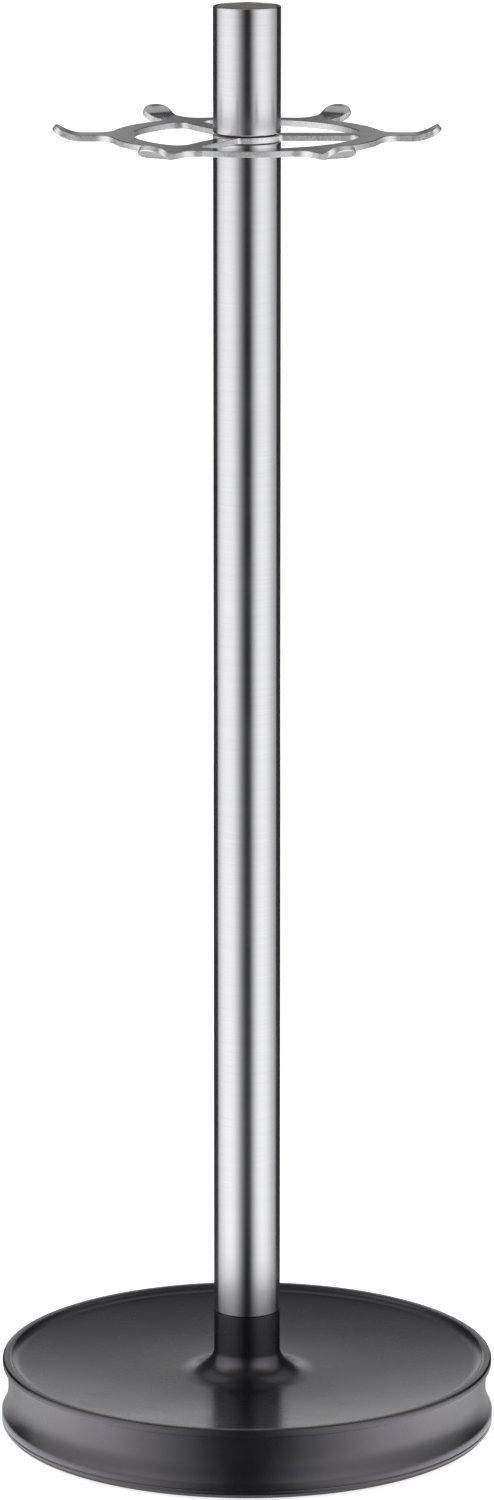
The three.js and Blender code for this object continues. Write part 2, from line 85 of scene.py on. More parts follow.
# %% [markdown]
# ## Small helpers for outlines
# A turned part is drawn as half of its section, the way a lathe operator reads a drawing. Corners are
# given with a rounding, because no real edge is perfectly sharp, and the rounding is what catches a line
# of light.


# %% Outlines with rounded corners
LONGEST = 0.49


def arc(centre_r, centre_z, radius, start, end, steps=12, upright=None):
    """Points along an arc, both ends included; angles in degrees, a second radius for an ellipse."""
    angles = np.radians(np.linspace(start, end, steps + 1))
    upright = upright or radius
    return [(centre_r + radius * math.cos(a), centre_z + upright * math.sin(a)) for a in angles]


def rounded(corners, steps=4):
    """An outline from (r, z, rounding) corners, each rounding drawn as a short arc."""
    outline = []
    for i, (r, z, rounding) in enumerate(corners):
        here = Vector((r, z))
        before = Vector(corners[i - 1][:2]) - here
        after = Vector(corners[(i + 1) % len(corners)][:2]) - here
        if rounding == 0 or before.length == 0 or after.length == 0:
            outline.append((r, z))
            continue
        half = before.angle(after) / 2
        reach = min(rounding / math.tan(half), before.length * LONGEST, after.length * LONGEST)
        start = here + before.normalized() * reach
        end = here + after.normalized() * reach
        for step in range(steps + 1):
            t = step / steps
            point = start * (1 - t) ** 2 + here * 2 * t * (1 - t) + end * t ** 2
            outline.append((point.x, point.y))
    return outline


print("a rounded square has", len(rounded([(0, 0, 1), (4, 0, 1), (4, 4, 1), (0, 4, 1)])), "points")

# %% [markdown]
# The outline is then spun into a closed mesh. Blender's Spin tool or a Screw modifier would do the same,
# but a few lines of mesh building close the ends on the axis, leave no seam and need no clean-up. Edges
# sharper than about thirty degrees stay crisp, and the rest is shaded smooth.

# %% Turn an outline about the post's axis
SEGMENTS = 128
SMOOTH_ANGLE = math.radians(32)


def put(name, data):
    """A new object in the scene, at the origin, and its data, both with the piece's name."""
    data.name = name
    piece = bpy.data.objects.new(name, data)
    bpy.context.scene.collection.objects.link(piece)
    return piece


def finish_mesh(mesh):
    """Smooth shading that breaks at real edges."""
    mesh.polygons.foreach_set("use_smooth", [True] * len(mesh.polygons))
    mesh.set_sharp_from_angle(angle=SMOOTH_ANGLE)
    mesh.update()


def object_from(name, rows, faces):
    """An object at the origin from points in mm, with its faces pointing outwards."""
    mesh = bpy.data.meshes.new(name)
    mesh.from_pydata([Vector(p) * MM for p in rows], [], faces)
    shape = bmesh.new()
    shape.from_mesh(mesh)
    bmesh.ops.recalc_face_normals(shape, faces=shape.faces)
    shape.to_mesh(mesh)
    shape.free()
    finish_mesh(mesh)
    return put(name, mesh)


def turned(name, outline, segments=SEGMENTS):
    """A closed turned part; the outline closes on itself or starts and ends on the axis."""
    points = []
    rings = []
    for r, z in outline:
        count = 1 if r == 0 else segments
        rings.append(range(len(points), len(points) + count))
        for i in range(count):
            angle = 2 * math.pi * i / segments
            points.append((r * math.cos(angle), r * math.sin(angle), z))
    pairs = list(zip(rings, rings[1:]))
    if outline[0][0] != 0 or outline[-1][0] != 0:
        pairs.append((rings[-1], rings[0]))
    faces = []
    for low, high in pairs:
        for i in range(segments):
            j = (i + 1) % segments
            face = [low[i % len(low)], low[j % len(low)], high[j % len(high)], high[i % len(high)]]
            face = list(dict.fromkeys(face))
            if len(face) > 2:
                faces.append(face)
    return object_from(name, points, faces)


print(f"turned parts have {SEGMENTS} sides unless they say otherwise")

# %% [markdown]
# ## Node trees
# Materials, the studio light and the repeated shapes are all node trees. One small function adds a node
# with its settings and its inputs, so a tree can be read from top to bottom like a list. An input is a
# value, a socket, or another node, which stands for that node's first output.


# %% Add a node
def add(tree, kind, inputs=(), stops=(), **settings):
    """Adds a node: its properties, its inputs by name or in order, and a ramp's (position, colour) stops."""
    node = tree.nodes.new(kind)
    for key, value in settings.items():
        setattr(node, key, value)
    for key, source in inputs.items() if isinstance(inputs, dict) else enumerate(inputs):
        if isinstance(source, bpy.types.Node):
            source = source.outputs[0]
        if isinstance(source, bpy.types.NodeSocket):
            tree.links.new(source, node.inputs[key])
        else:
            node.inputs[key].default_value = source
    while stops and len(node.color_ramp.elements) < len(stops):
        node.color_ramp.elements.new(1.0)
    for i, (position, colour) in enumerate(stops):
        node.color_ramp.elements[i].position = position
        node.color_ramp.elements[i].color = colour if hasattr(colour, "__len__") else (colour,) * 3 + (1.0,)
    return node


def linear(hexadecimal):
    """An sRGB hex colour as the linear colour that shaders use."""
    channels = [int(hexadecimal[i:i + 2], 16) / 255 for i in (1, 3, 5)]
    return [c / 12.92 if c <= 0.04045 else ((c + 0.055) / 1.055) ** 2.4 for c in channels] + [1.0]


print("mid grey #808080 is", round(linear("#808080")[0], 3), "in linear light")

# %% [markdown]
# Bending, threading and lighting are all sums worked out at each point. Written as a recipe, each row
# names its result, says what is done, and with what, so the tree reads like the working of a sum on
# paper.


# %% Work out a recipe
def work_out(tree, place, known, rows):
    """Adds a node for each row and returns every named result; a list for an operation is a ramp."""
    parts = add(tree, "ShaderNodeSeparateXYZ", [place]).outputs
    known = {**known, "x": parts["X"], "y": parts["Y"], "z": parts["Z"]}
    for name, task, *sources in rows:
        sources = [known.get(source, source) for source in sources]
        if isinstance(task, list):
            known[name] = add(tree, "ShaderNodeValToRGB", sources, stops=task)
        else:
            known[name] = add(tree, "ShaderNodeMath", sources, operation=task)
    return known


def bare_material(name):
    """A material with an empty node tree."""
    material = bpy.data.materials.new(name)
    material.use_nodes = True
    material.node_tree.nodes.clear()
    return material


print("materials from the CAD frame:", len(bpy.data.materials))

# %% [markdown]
# ## Finishes
# A surface pattern is nearly always noise stretched to the size of a real mark: grain, brush line or
# cloud. It changes three things a little: colour, roughness and height. Every finish below is one row of
# that idea, with the size of its marks in millimetres. A value that is the same all over goes straight to
# the shader's socket.

# %% Make a finish
NOISE_ROUGHNESS = 0.55
NOISE_LOW, NOISE_HIGH = 0.3, 0.7


def new_finish(name, marks, colour, roughness=None, relief=None, **uniform):
    """A Principled material whose colour, roughness and relief each follow one of its named marks."""
    material = bare_material(name)
    tree = material.node_tree
    place = add(tree, "ShaderNodeTexCoord").outputs["Object"]
    noise = {}
    for mark, (size, detail) in marks.items():
        scaled = add(tree, "ShaderNodeMapping", {"Vector": place, "Scale": [1 / (mm * MM) for mm in size]})
        noise[mark] = add(tree, "ShaderNodeTexNoise", {
            "Vector": scaled, "Scale": 1.0, "Detail": detail, "Roughness": NOISE_ROUGHNESS,
        })
    mark, dark, light = colour
    tint = add(tree, "ShaderNodeValToRGB", [noise[mark]],
               [(NOISE_LOW, linear(dark)), (NOISE_HIGH, linear(light))])
    tint.color_ramp.interpolation = "EASE"
    shader = {"Base Color": tint, **{key.replace("_", " "): value for key, value in uniform.items()}}
    if roughness:
        mark, low, high = roughness
        shader["Roughness"] = add(tree, "ShaderNodeMapRange", {
            "Value": noise[mark], "From Min": NOISE_LOW, "From Max": NOISE_HIGH,
            "To Min": low, "To Max": high,
        })
    if relief:
        mark, height, strength = relief
        shader["Normal"] = add(tree, "ShaderNodeBump", {
            "Height": noise[mark], "Distance": height * MM, "Strength": strength,
        })
    add(tree, "ShaderNodeOutputMaterial", [add(tree, "ShaderNodeBsdfPrincipled", shader, name="surface")])
    return material


print(f"noise between {NOISE_LOW} and {NOISE_HIGH} is stretched over each finish's range")

# %% [markdown]
# ### Black ABS, spark-eroded
# The base is injection moulded in black ABS. The mould was spark-eroded, which leaves a fine even grain,
# so the surface is black in itself and all that the eye sees is a soft, wide reflection of the room. The
# grain is about 0.1 mm on the real thing and is drawn at 0.35 mm so that it still shows.

# %% Black ABS
ABS = new_finish(
    "black_abs_spark_eroded", {"grain": ((0.35, 0.35, 0.35), 2.0), "cloud": ((14, 14, 14), 3.0)},
    colour=("cloud", "#0e0e10", "#121215"), roughness=("cloud", 0.25, 0.29), relief=("grain", 0.004, 0.5),
    IOR=1.53, Specular_IOR_Level=1.0, Specular_Tint=linear("#f4f0fb"),
)
print("the base is", ABS.name)

# %% [markdown]
# ### Stainless tube, belt-ground round the bar
# The post and grip are stainless tube, ground on a fine belt while they turn. The lines run round the
# tube, so a reflection stays crisp from side to side and smears up and down. That is an anisotropic gloss
# whose grooves follow the circumference, with faint lines of uneven depth drawn on top.

# %% Ground stainless tube
TUBE = new_finish(
    "ground_stainless_tube", {"lines": ((40, 40, 0.3), 3.0), "cloud": ((9, 9, 22), 3.0)},
    colour=("lines", "#c4c4c6", "#c9c9cb"), roughness=("cloud", 0.2, 0.25), relief=("lines", 0.002, 0.15),
    Metallic=1.0, Anisotropic=0.6, Anisotropic_Rotation=0.25,
)
grooves = add(TUBE.node_tree, "ShaderNodeTangent", direction_type="RADIAL", axis="Z").outputs["Tangent"]
TUBE.node_tree.links.new(grooves, TUBE.node_tree.nodes["surface"].inputs["Tangent"])
print("the post and the grip are", TUBE.name)

# %% [markdown]
# ### Faced disc
# The lid of the grip was faced on a lathe. The tool leaves rings about the centre, finer than the eye can
# part, so the disc looks greyer and duller than the tube round it. The rings here are 0.4 mm apart.

# %% Faced stainless disc
RING_PITCH = 0.4
WAVES_PER_SCALE = 20
LID = new_finish(
    "faced_stainless_disc", {"cloud": ((5, 5, 5), 3.0)},
    colour=("cloud", "#dcdad6", "#e8e6e2"), roughness=("cloud", 0.26, 0.34), Metallic=1.0,
)
lid_place = add(LID.node_tree, "ShaderNodeTexCoord").outputs["Object"]
lid_rings = add(
    LID.node_tree, "ShaderNodeTexWave",
    {"Vector": lid_place, "Scale": 1 / (WAVES_PER_SCALE * RING_PITCH * MM), "Distortion": 0.6, "Detail": 2.0},
    wave_type="RINGS", rings_direction="Z",
)
lid_relief = add(LID.node_tree, "ShaderNodeBump", {
    "Height": lid_rings.outputs["Fac"], "Distance": 0.004 * MM, "Strength": 0.3,
})
LID.node_tree.links.new(lid_relief.outputs["Normal"], LID.node_tree.nodes["surface"].inputs["Normal"])
print(f"the lid's rings are {RING_PITCH} mm apart")

# %% [markdown]
# ### Stainless sheet, and its blanked edge
# The wheel is blanked from 2 mm sheet. Its faces keep the mill's fine straight grain, and the blanked
# edge is a rougher, brighter band: the punch tears the last part of the cut, and tumbling then rounds it.
# Two materials on one piece give the eye that difference.

# %% Sheet faces and edges
SHEET = new_finish(
    "mill_grained_stainless_sheet", {"grain": ((24, 0.4, 6), 4.0), "cloud": ((8, 8, 8), 3.0)},
    colour=("cloud", "#d6d6d8", "#dededf"), roughness=("grain", 0.14, 0.19), relief=("grain", 0.003, 0.3),
    Metallic=1.0,
)
EDGE = new_finish(
    "tumbled_blanked_edge", {"torn": ((0.35, 0.35, 0.8), 3.0)},
    colour=("torn", "#d2d2d4", "#f2f2f2"), roughness=("torn", 0.42, 0.58), relief=("torn", 0.02, 0.5),
    Metallic=1.0,
)
print("the wheel is", SHEET.name, "with a", EDGE.name)

# %% [markdown]
# ### Finishes that are hidden in use
# The underside and the inside need finishes too, because the wheel, the washers and the bolt show when
# the stand is taken apart. Zinc plate is a cloudy bluish grey, cast iron is rough under its paint, the
# cover is matt polypropylene, the foot is a soft elastomer with a faint bloom, and the slide washers are
# natural nylon, which lets a little light into its surface.

# %% Zinc, iron, polypropylene, elastomer, nylon
ZINC = new_finish(
    "bright_zinc_plate", {"cloud": ((1.5, 1.5, 1.5), 4.0)},
    colour=("cloud", "#aeb2b8", "#c6c9cd"), roughness=("cloud", 0.28, 0.42), relief=("cloud", 0.01, 0.3),
    Metallic=1.0,
)
IRON = new_finish(
    "painted_cast_iron", {"sand": ((0.8, 0.8, 0.8), 5.0)},
    colour=("sand", "#2b2b2d", "#3c3c3e"), roughness=("sand", 0.55, 0.75), relief=("sand", 0.25, 0.7),
)
POLYPROPYLENE = new_finish(
    "matt_polypropylene", {"grain": ((0.5, 0.5, 0.5), 3.0)},
    colour=("grain", "#1a1a1b", "#222224"), roughness=("grain", 0.5, 0.62), relief=("grain", 0.03, 0.6),
    IOR=1.49,
)
ELASTOMER = new_finish(
    "soft_elastomer", {"grain": ((0.6, 0.6, 0.6), 4.0)},
    colour=("grain", "#252527", "#303033"), roughness=("grain", 0.75, 0.9), relief=("grain", 0.02, 0.6),
    IOR=1.5, Sheen_Weight=0.1,
)
NYLON = new_finish(
    "natural_white_nylon", {"cloud": ((2.5, 2.5, 2.5), 3.0)},
    colour=("cloud", "#e4dfd2", "#efebe0"), roughness=("cloud", 0.4, 0.5), relief=("cloud", 0.01, 0.3),
    IOR=1.53, Subsurface_Weight=0.15, Subsurface_Scale=0.5 * MM,
)
print("hidden finishes:", [hidden.name for hidden in (ZINC, IRON, POLYPROPYLENE, ELASTOMER, NYLON)])

# %% [markdown]
# ## Putting a piece on the frame
# A finished piece stands for one or more CAD nodes, moves with one body and fills one material slot.
# Saying all of that in one call keeps a piece from being left behind when the wheel turns.


# %% Fit a finished piece
def fit(piece, body, slot, *nodes, finish=None):
    """Gives a piece its finish and its body, and hides the CAD nodes it stands for; slot is not used."""
    if finish is not None:
        piece.data.materials.clear()
        piece.data.materials.append(finish)
    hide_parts(*nodes)
    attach(piece, body)
    print(f"{piece.name}: {len(piece.data.polygons)} faces for {', '.join(nodes)}")


# %% [markdown]
# ## The base moulding
# One moulding makes the dish, the lip, the waisted wall and the hollow neck that carries the post. It
# could be modelled with subdivision surfaces, but a mould for a round part is itself turned, so its
# section tells the whole shape: a shallow bowl that steepens near the rim, a narrow flat land, a lip that
# stands out over the wall, a waist, and a skirt with two fine lines round the bottom.

# %% Sizes of the base
RIM_RADIUS, RIM_TOP = 80.0, 23.5
RIM_LAND, RIM_BLEND = 1.8, 0.3
LIP_HEIGHT, LIP_OVERHANG, LIP_EDGE = 2.7, 1.1, 0.7
DISH_CURVE, DISH_EDGE_SLOPE, DISH_EDGE_STOP = 6.0, 50.0, 46.0
BOWL_SLOPE = 8.0
FLARE_OUT, FLARE_UP = 12.0, 8.0
WAIST_RADIUS, WAIST_HEIGHT = 78.2, 13.4
SKIRT_TOP, SKIRT_BOTTOM = 5.5, 3.4
TUCK_RADIUS, TUCK_DROP = 1.15, 0.9
SHELL_WALL = 2.5
SPIGOT_EDGE, NECK_EDGE = 0.5, 0.15

bolt_hole, skirt_radius, shell_bottom, spigot_top = round_node("base_shell")
neck_top = post_bottom - CLEARANCE
spigot_radius = tube_bore - CLEARANCE
shell_bore = round_node("base_cover")[1] + CLEARANCE
neck_bore = tube_radius - SHELL_WALL
neck_bore_top = round_node("bolt_washer")[3] + CLEARANCE

dish_edge = RIM_RADIUS - LIP_EDGE - RIM_LAND
sin_edge, cos_edge = math.sin(math.radians(DISH_EDGE_SLOPE)), math.cos(math.radians(DISH_EDGE_SLOPE))
sin_bowl, cos_bowl = math.sin(math.radians(BOWL_SLOPE)), math.cos(math.radians(BOWL_SLOPE))
curve_start = dish_edge - DISH_CURVE * (sin_edge - sin_bowl)
curve_bottom = RIM_TOP - DISH_CURVE * (cos_bowl - cos_edge)
bowl_start = tube_radius + FLARE_OUT
bowl_radius = (curve_start - bowl_start) / sin_bowl
dish_floor = curve_bottom - bowl_radius * (1 - cos_bowl)
bowl_centre = dish_floor + bowl_radius
under_radius = bowl_radius + SHELL_WALL
under_slope = math.degrees(math.asin((shell_bore - bowl_start) / under_radius))
lip_bottom = RIM_TOP - LIP_HEIGHT
print(f"bowl {bowl_start:.1f} to {curve_start:.1f} mm, floor at {dish_floor:.2f} mm")

# %% [markdown]
# The section is drawn from the top of the spigot, down the neck, out over the dish, round the lip, down
# the waisted wall, and back inside at an even wall thickness. Each run of points is one feature.


# %% Section of the base
def upright_arc(r0, z0, r1, z1, steps=14):
    """An arc that is upright at (r0, z0) and ends further out at (r1, z1)."""
    out = r1 - r0
    rise = z1 - z0
    radius = (out * out + rise * rise) / (2 * out)
    swing = math.degrees(math.asin(rise / radius))
    return arc(r0 + radius, z0, radius, 180, 180 - swing, steps)


wall_top = upright_arc(WAIST_RADIUS, WAIST_HEIGHT, RIM_RADIUS - LIP_OVERHANG, lip_bottom)
wall_foot = upright_arc(WAIST_RADIUS, WAIST_HEIGHT, skirt_radius, SKIRT_TOP)
spigot = rounded([
    (bolt_hole, spigot_top, 0), (spigot_radius, spigot_top, SPIGOT_EDGE), (spigot_radius, neck_top, 0),
])
base_outline = [
    *spigot,
    (tube_radius - NECK_EDGE, neck_top),
    (tube_radius, neck_top - NECK_EDGE),
    *arc(bowl_start, dish_floor + FLARE_UP, FLARE_OUT, 180, 270, 24, FLARE_UP),
    *arc(bowl_start, bowl_centre, bowl_radius, 270, 270 + BOWL_SLOPE, 30)[1:],
    *arc(dish_edge - DISH_CURVE * sin_edge, RIM_TOP + DISH_CURVE * cos_edge, DISH_CURVE,
         270 + BOWL_SLOPE, 270 + DISH_EDGE_STOP, 16)[1:],
    (dish_edge + RIM_BLEND * 0.4, RIM_TOP - RIM_BLEND * 0.1),
    (dish_edge + RIM_BLEND, RIM_TOP),
    *arc(RIM_RADIUS - LIP_EDGE, RIM_TOP - LIP_EDGE, LIP_EDGE, 90, 0, 6),
    *arc(RIM_RADIUS - LIP_EDGE, lip_bottom + LIP_EDGE, LIP_EDGE, 0, -90, 6),
    *wall_top[::-1],
    *wall_foot[1:],
    (skirt_radius, SKIRT_BOTTOM),
    *arc(skirt_radius - TUCK_RADIUS, SKIRT_BOTTOM - TUCK_DROP, TUCK_RADIUS, 50, -40, 6),
    (skirt_radius - TUCK_RADIUS, shell_bottom),
    (shell_bore, shell_bottom),
    *arc(bowl_start, bowl_centre, under_radius, 270 + under_slope, 270, 20),
    *arc(bowl_start, dish_floor + FLARE_UP, bowl_start - neck_bore, 270, 180, 16, FLARE_UP + SHELL_WALL)[1:],
    (neck_bore, neck_bore_top),
    (bolt_hole, neck_bore_top),
]
moulding_turned = turned("moulding_turned", base_outline, segments=192)
print("points on the base's section:", len(base_outline))

# %% [markdown]
# Four bosses under the dish take the cover's screws. They are the only part of the moulding that is not
# round, so they are joined to the turned body with a Boolean and then drilled with another.

# %% Screw bosses
SCREWS = 4
SCREW_RADIUS = 1.5
HOLE_RADIUS = SCREW_RADIUS + CLEARANCE
BOSS_RADIUS, BOSS_EDGE, BOSS_BITE = 3.6, 0.3, 0.8
DRILL_START, DRILL_DEPTH = 1.0, 8.0
screw_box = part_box("cover_screw_1")
screw_low, screw_high = (corner.z / MM for corner in screw_box)
screw_middle = (screw_box[0] + screw_box[1]) / 2 / MM
screw_circle = math.hypot(screw_middle.x, screw_middle.y)
screw_places = [(x, y) for x, y in arc(0, 0, screw_circle, 0, 360, SCREWS)[:-1]]
boss_bottom = cover_top + CLEARANCE
boss_top = bowl_centre - math.sqrt(under_radius ** 2 - (screw_circle - bowl_start) ** 2) + BOSS_BITE


def plain_mesh(piece):
    """What a piece's curve or modifiers give, as a mesh of its own; the piece is removed."""
    mesh = bpy.data.meshes.new_from_object(piece.evaluated_get(bpy.context.evaluated_depsgraph_get()))
    bpy.data.objects.remove(piece)
    return mesh


def pins(name, outline):
    """One turned pin on each screw's axis, all in one object."""
    pin = turned(name, outline, segments=48)
    shape = bmesh.new()
    for x, y in screw_places:
        copy = pin.data.copy()
        copy.transform(Matrix.Translation(Vector((x, y, 0)) * MM))
        shape.from_mesh(copy)
        bpy.data.meshes.remove(copy)
    shape.to_mesh(pin.data)
    shape.free()
    return pin


def carved(piece, name, steps, crossed=False):
    """The piece after each (operation, tool) Boolean; crossed is for a tool whose own parts overlap."""
    for operation, tool in steps:
        step = piece.modifiers.new(tool.name, "BOOLEAN")
        step.operation = operation
        step.object = tool
        step.solver = "EXACT"
        step.use_self = crossed
    mesh = plain_mesh(piece)
    for operation, tool in steps:
        bpy.data.objects.remove(tool)
    finish_mesh(mesh)
    return put(name, mesh)


bosses = pins("bosses", [
    (0, boss_bottom), (BOSS_RADIUS - BOSS_EDGE, boss_bottom), (BOSS_RADIUS, boss_bottom + BOSS_EDGE),
    (BOSS_RADIUS, boss_top), (0, boss_top),
])
drills = pins("drills", [
    (0, boss_bottom - DRILL_START), (HOLE_RADIUS, boss_bottom - DRILL_START),
    (HOLE_RADIUS, boss_bottom + DRILL_DEPTH), (0, boss_bottom + DRILL_DEPTH),
])
base_moulding = carved(moulding_turned, "base_moulding", [("UNION", bosses), ("DIFFERENCE", drills)])
fit(base_moulding, "stand", "black_moulding", "base_shell", finish=ABS)

# %% [markdown]
# ## The post, the grip and the grip's end disc
# Both tubes are cut from the same stock. A saw leaves a burr, so the cut ends are turned back to a small
# rounding. The grip's upper edge is the one a hand meets, so it is rounder, and a flat disc closes it
# with a hair-line groove all round.

# %% Tubes and end disc
CUT_EDGE, GRIP_EDGE, LID_EDGE = 0.25, 0.7, 0.3
BORE_EDGE, BORE_TOP_EDGE = 0.15, 0.1


def tube(name, low, high, top_edge):
    """A length of the stock tube with its ends broken."""
    return turned(name, rounded([
        (tube_bore, low, BORE_EDGE), (tube_radius, low, CUT_EDGE),
        (tube_radius, high, top_edge), (tube_bore, high, BORE_TOP_EDGE),
    ], steps=8))


fit(tube("post_pipe", post_bottom, post_top, CUT_EDGE), "stand", "brushed_tube", "post_tube", finish=TUBE)
fit(tube("grip_pipe", grip_bottom, grip_top, GRIP_EDGE), "stand", "brushed_tube", "grip_tube", finish=TUBE)

disc_radius, disc_bottom, disc_top = round_node("grip_end_disc")[1:]
grip_lid = turned("grip_lid", [
    (0, disc_bottom), (disc_radius, disc_bottom), (disc_radius, disc_top - LID_EDGE),
    (disc_radius - LID_EDGE, disc_top), (0, disc_top),
])
fit(grip_lid, "stand", "brushed_tube", "grip_end_disc", finish=LID)

# %% [markdown]
# ## The hook wheel, flat
# The wheel starts as a flat blank: hub, three spokes, a ring, and six fingers with paddle-shaped ends.
# Its outline is a 2D curve with holes, and a curve can be extruded with a small bevel, which gives the
# tumbled edge for nothing. The fingers are drawn at their developed length, so that bending does not
# stretch them.

# %% Outline of the blank
FINGERS, SPOKES = 6, 3
RING_OUTER, RING_INNER = 43.0, 36.0
SPOKE_WIDTH = 6.0
WINDOW_CORNER, HUB_FILLET = 3.5, 1.5
BEND_START, BEND_RADIUS, BEND_ANGLE = 52.0, 13.0, math.radians(40)
FINGER_NECK, FINGER_FILLET = 8.4, 6.0
PADDLE_WIDTH, PADDLE_OUT = 9.4, 6.0
TIP_STRAIGHT, TIP_SQUARENESS = 0.5, 0.62
bend_length = BEND_RADIUS * BEND_ANGLE
finger_length = BEND_START + bend_length + TIP_STRAIGHT


def bezier(a, b, c, d, steps):
    """Points along a Bezier curve with its ends at a and d."""
    a, b, c, d = (np.array(p, float) for p in (a, b, c, d))
    rows = []
    for t in np.linspace(0, 1, steps + 1):
        rows.append(tuple(a * (1 - t) ** 3 + 3 * b * t * (1 - t) ** 2 + 3 * c * t * t * (1 - t) + d * t ** 3))
    return rows


def turn(points, degrees):
    """The points turned about the post."""
    c, s = math.cos(math.radians(degrees)), math.sin(math.radians(degrees))
    return [(x * c - y * s, x * s + y * c) for x, y in points]


def mirror(points):
    """The points across the X axis, in the order that carries the outline on."""
    return [(x, -y) for x, y in points[::-1]]


def blank_outline():
    """The wheel's outer edge, anticlockwise from the first finger's root."""
    neck, paddle = FINGER_NECK / 2, PADDLE_WIDTH / 2
    fillet_y = neck + FINGER_FILLET
    fillet_x = math.sqrt((RING_OUTER + FINGER_FILLET) ** 2 - fillet_y ** 2)
    root = math.degrees(math.atan2(fillet_y, fillet_x))
    widest = BEND_START + PADDLE_OUT
    third = PADDLE_OUT / 3
    upper = [
        *arc(fillet_x, fillet_y, FINGER_FILLET, root - 180, -90, 12),
        *bezier((BEND_START, neck), (BEND_START + third, neck),
                (widest - third, paddle), (widest, paddle), 10),
        *bezier((widest, paddle), (widest + (finger_length - widest) * TIP_SQUARENESS, paddle),
                (finger_length, paddle * TIP_SQUARENESS), (finger_length, 0), 12)[1:],
    ]
    finger = mirror(upper)[::-1] + upper[::-1][1:]
    pitch = 360 / FINGERS
    ring = arc(0, 0, RING_OUTER, root, pitch - root, 14)[1:-1]
    return [p for i in range(FINGERS) for p in turn(finger + ring, i * pitch)]


def window_outline():
    """One window between two spokes, the first spoke along +X."""
    half, pitch = SPOKE_WIDTH / 2, 360 / SPOKES
    hub_y, corner_y = half + HUB_FILLET, half + WINDOW_CORNER
    hub_x = math.sqrt((tube_radius + HUB_FILLET) ** 2 - hub_y ** 2)
    corner_x = math.sqrt((RING_INNER - WINDOW_CORNER) ** 2 - corner_y ** 2)
    hub_angle = math.degrees(math.atan2(hub_y, hub_x))
    corner_angle = math.degrees(math.atan2(corner_y, corner_x))
    side = [
        *arc(hub_x, hub_y, HUB_FILLET, hub_angle - 180, -90, 6),
        *arc(corner_x, corner_y, WINDOW_CORNER, -90, corner_angle, 12),
    ]
    return [
        *side,
        *arc(0, 0, RING_INNER, corner_angle, pitch - corner_angle, 36)[1:-1],
        *turn(mirror(side), pitch),
        *arc(0, 0, tube_radius, pitch - hub_angle, hub_angle, 10)[1:-1],
    ]


hub_bore = round_node("hook_plate")[0]
outlines = [blank_outline(), *[turn(window_outline(), i * 360 / SPOKES) for i in range(SPOKES)]]
outlines.append(arc(0, 0, hub_bore, 0, 360, 64)[:-1])
print("points on the blank's outlines:", [len(o) for o in outlines])

# %% [markdown]
# A filled 2D curve is the quickest way to a plate with holes: extrude gives its thickness, bevel its
# rounded edge, and a negative offset takes back what the bevel adds. The fingers are then cut across into
# short strips, because a mesh only bends where it has points.

# %% Extrude a plate and cut its fingers across
EDGE_ROUNDING, EDGE_TILT = 0.3, 0.2
WELD = 0.002
BEND_CUTS = 14


def extruded(name, outlines, thickness):
    """A flat plate with its middle at z = 0 and its edges rounded, from 2D outlines in mm, holes included."""
    curve = bpy.data.curves.new(name, "CURVE")
    curve.dimensions = "2D"
    curve.fill_mode = "BOTH"
    curve.extrude = (thickness / 2 - EDGE_ROUNDING) * MM
    curve.bevel_depth = EDGE_ROUNDING * MM
    curve.bevel_resolution = 3
    curve.offset = -EDGE_ROUNDING * MM
    for outline in outlines:
        spline = curve.splines.new("POLY")
        spline.points.add(len(outline) - 1)
        spline.points.foreach_set("co", [v for x, y in outline for v in (x * MM, y * MM, 0, 1)])
        spline.use_cyclic_u = True
    plate = put(name, plain_mesh(put(name, curve)))
    shape = bmesh.new()
    shape.from_mesh(plate.data)
    bmesh.ops.remove_doubles(shape, verts=shape.verts, dist=WELD * MM)
    return plate, shape


blank, shape = extruded("blank", outlines, plate_top - plate_bottom)
for i in range(FINGERS):
    angle = 2 * math.pi * i / FINGERS
    out = Vector((math.cos(angle), math.sin(angle), 0))
    for cut in range(BEND_CUTS + 1):
        distance = BEND_START + bend_length * cut / BEND_CUTS
        everything = [*shape.verts, *shape.edges, *shape.faces]
        bmesh.ops.bisect_plane(shape, geom=everything, plane_co=out * distance * MM, plane_no=out)
bmesh.ops.recalc_face_normals(shape, faces=shape.faces)
open_edges = sum(not edge.is_manifold for edge in shape.edges)
shape.to_mesh(blank.data)
shape.free()
side = blank.data.attributes.new("blanked", "BOOLEAN", "FACE")
side.data.foreach_set("value", [abs(face.normal.z) < EDGE_TILT for face in blank.data.polygons])
blank.data.polygons.foreach_set("use_smooth", [True] * len(blank.data.polygons))
print(f"blank: {len(blank.data.polygons)} faces, {open_edges} open edges")

# %% [markdown]
# ## The hook wheel, bent
# All six fingers follow one rule: past a straight line they curl up round a mandrel. That is a job for
# Geometry Nodes. The tree turns each point into its own finger's frame, works out how far past the line
# it lies, wraps that length round the bend radius, and turns the point back. The same tree works for any
# number of fingers, radius or angle.


# %% The bending tree
def shape_tree(name, sizes):
    """A Geometry Nodes tree with one named number input for each size, and its inputs by name."""
    tree = bpy.data.node_groups.new(name, "GeometryNodeTree")
    tree.interface.new_socket("Geometry", in_out="INPUT", socket_type="NodeSocketGeometry")
    for size in sizes:
        tree.interface.new_socket(size, in_out="INPUT", socket_type="NodeSocketFloat")
    tree.interface.new_socket("Geometry", in_out="OUTPUT", socket_type="NodeSocketGeometry")
    return tree, dict(add(tree, "NodeGroupInput").outputs.items())


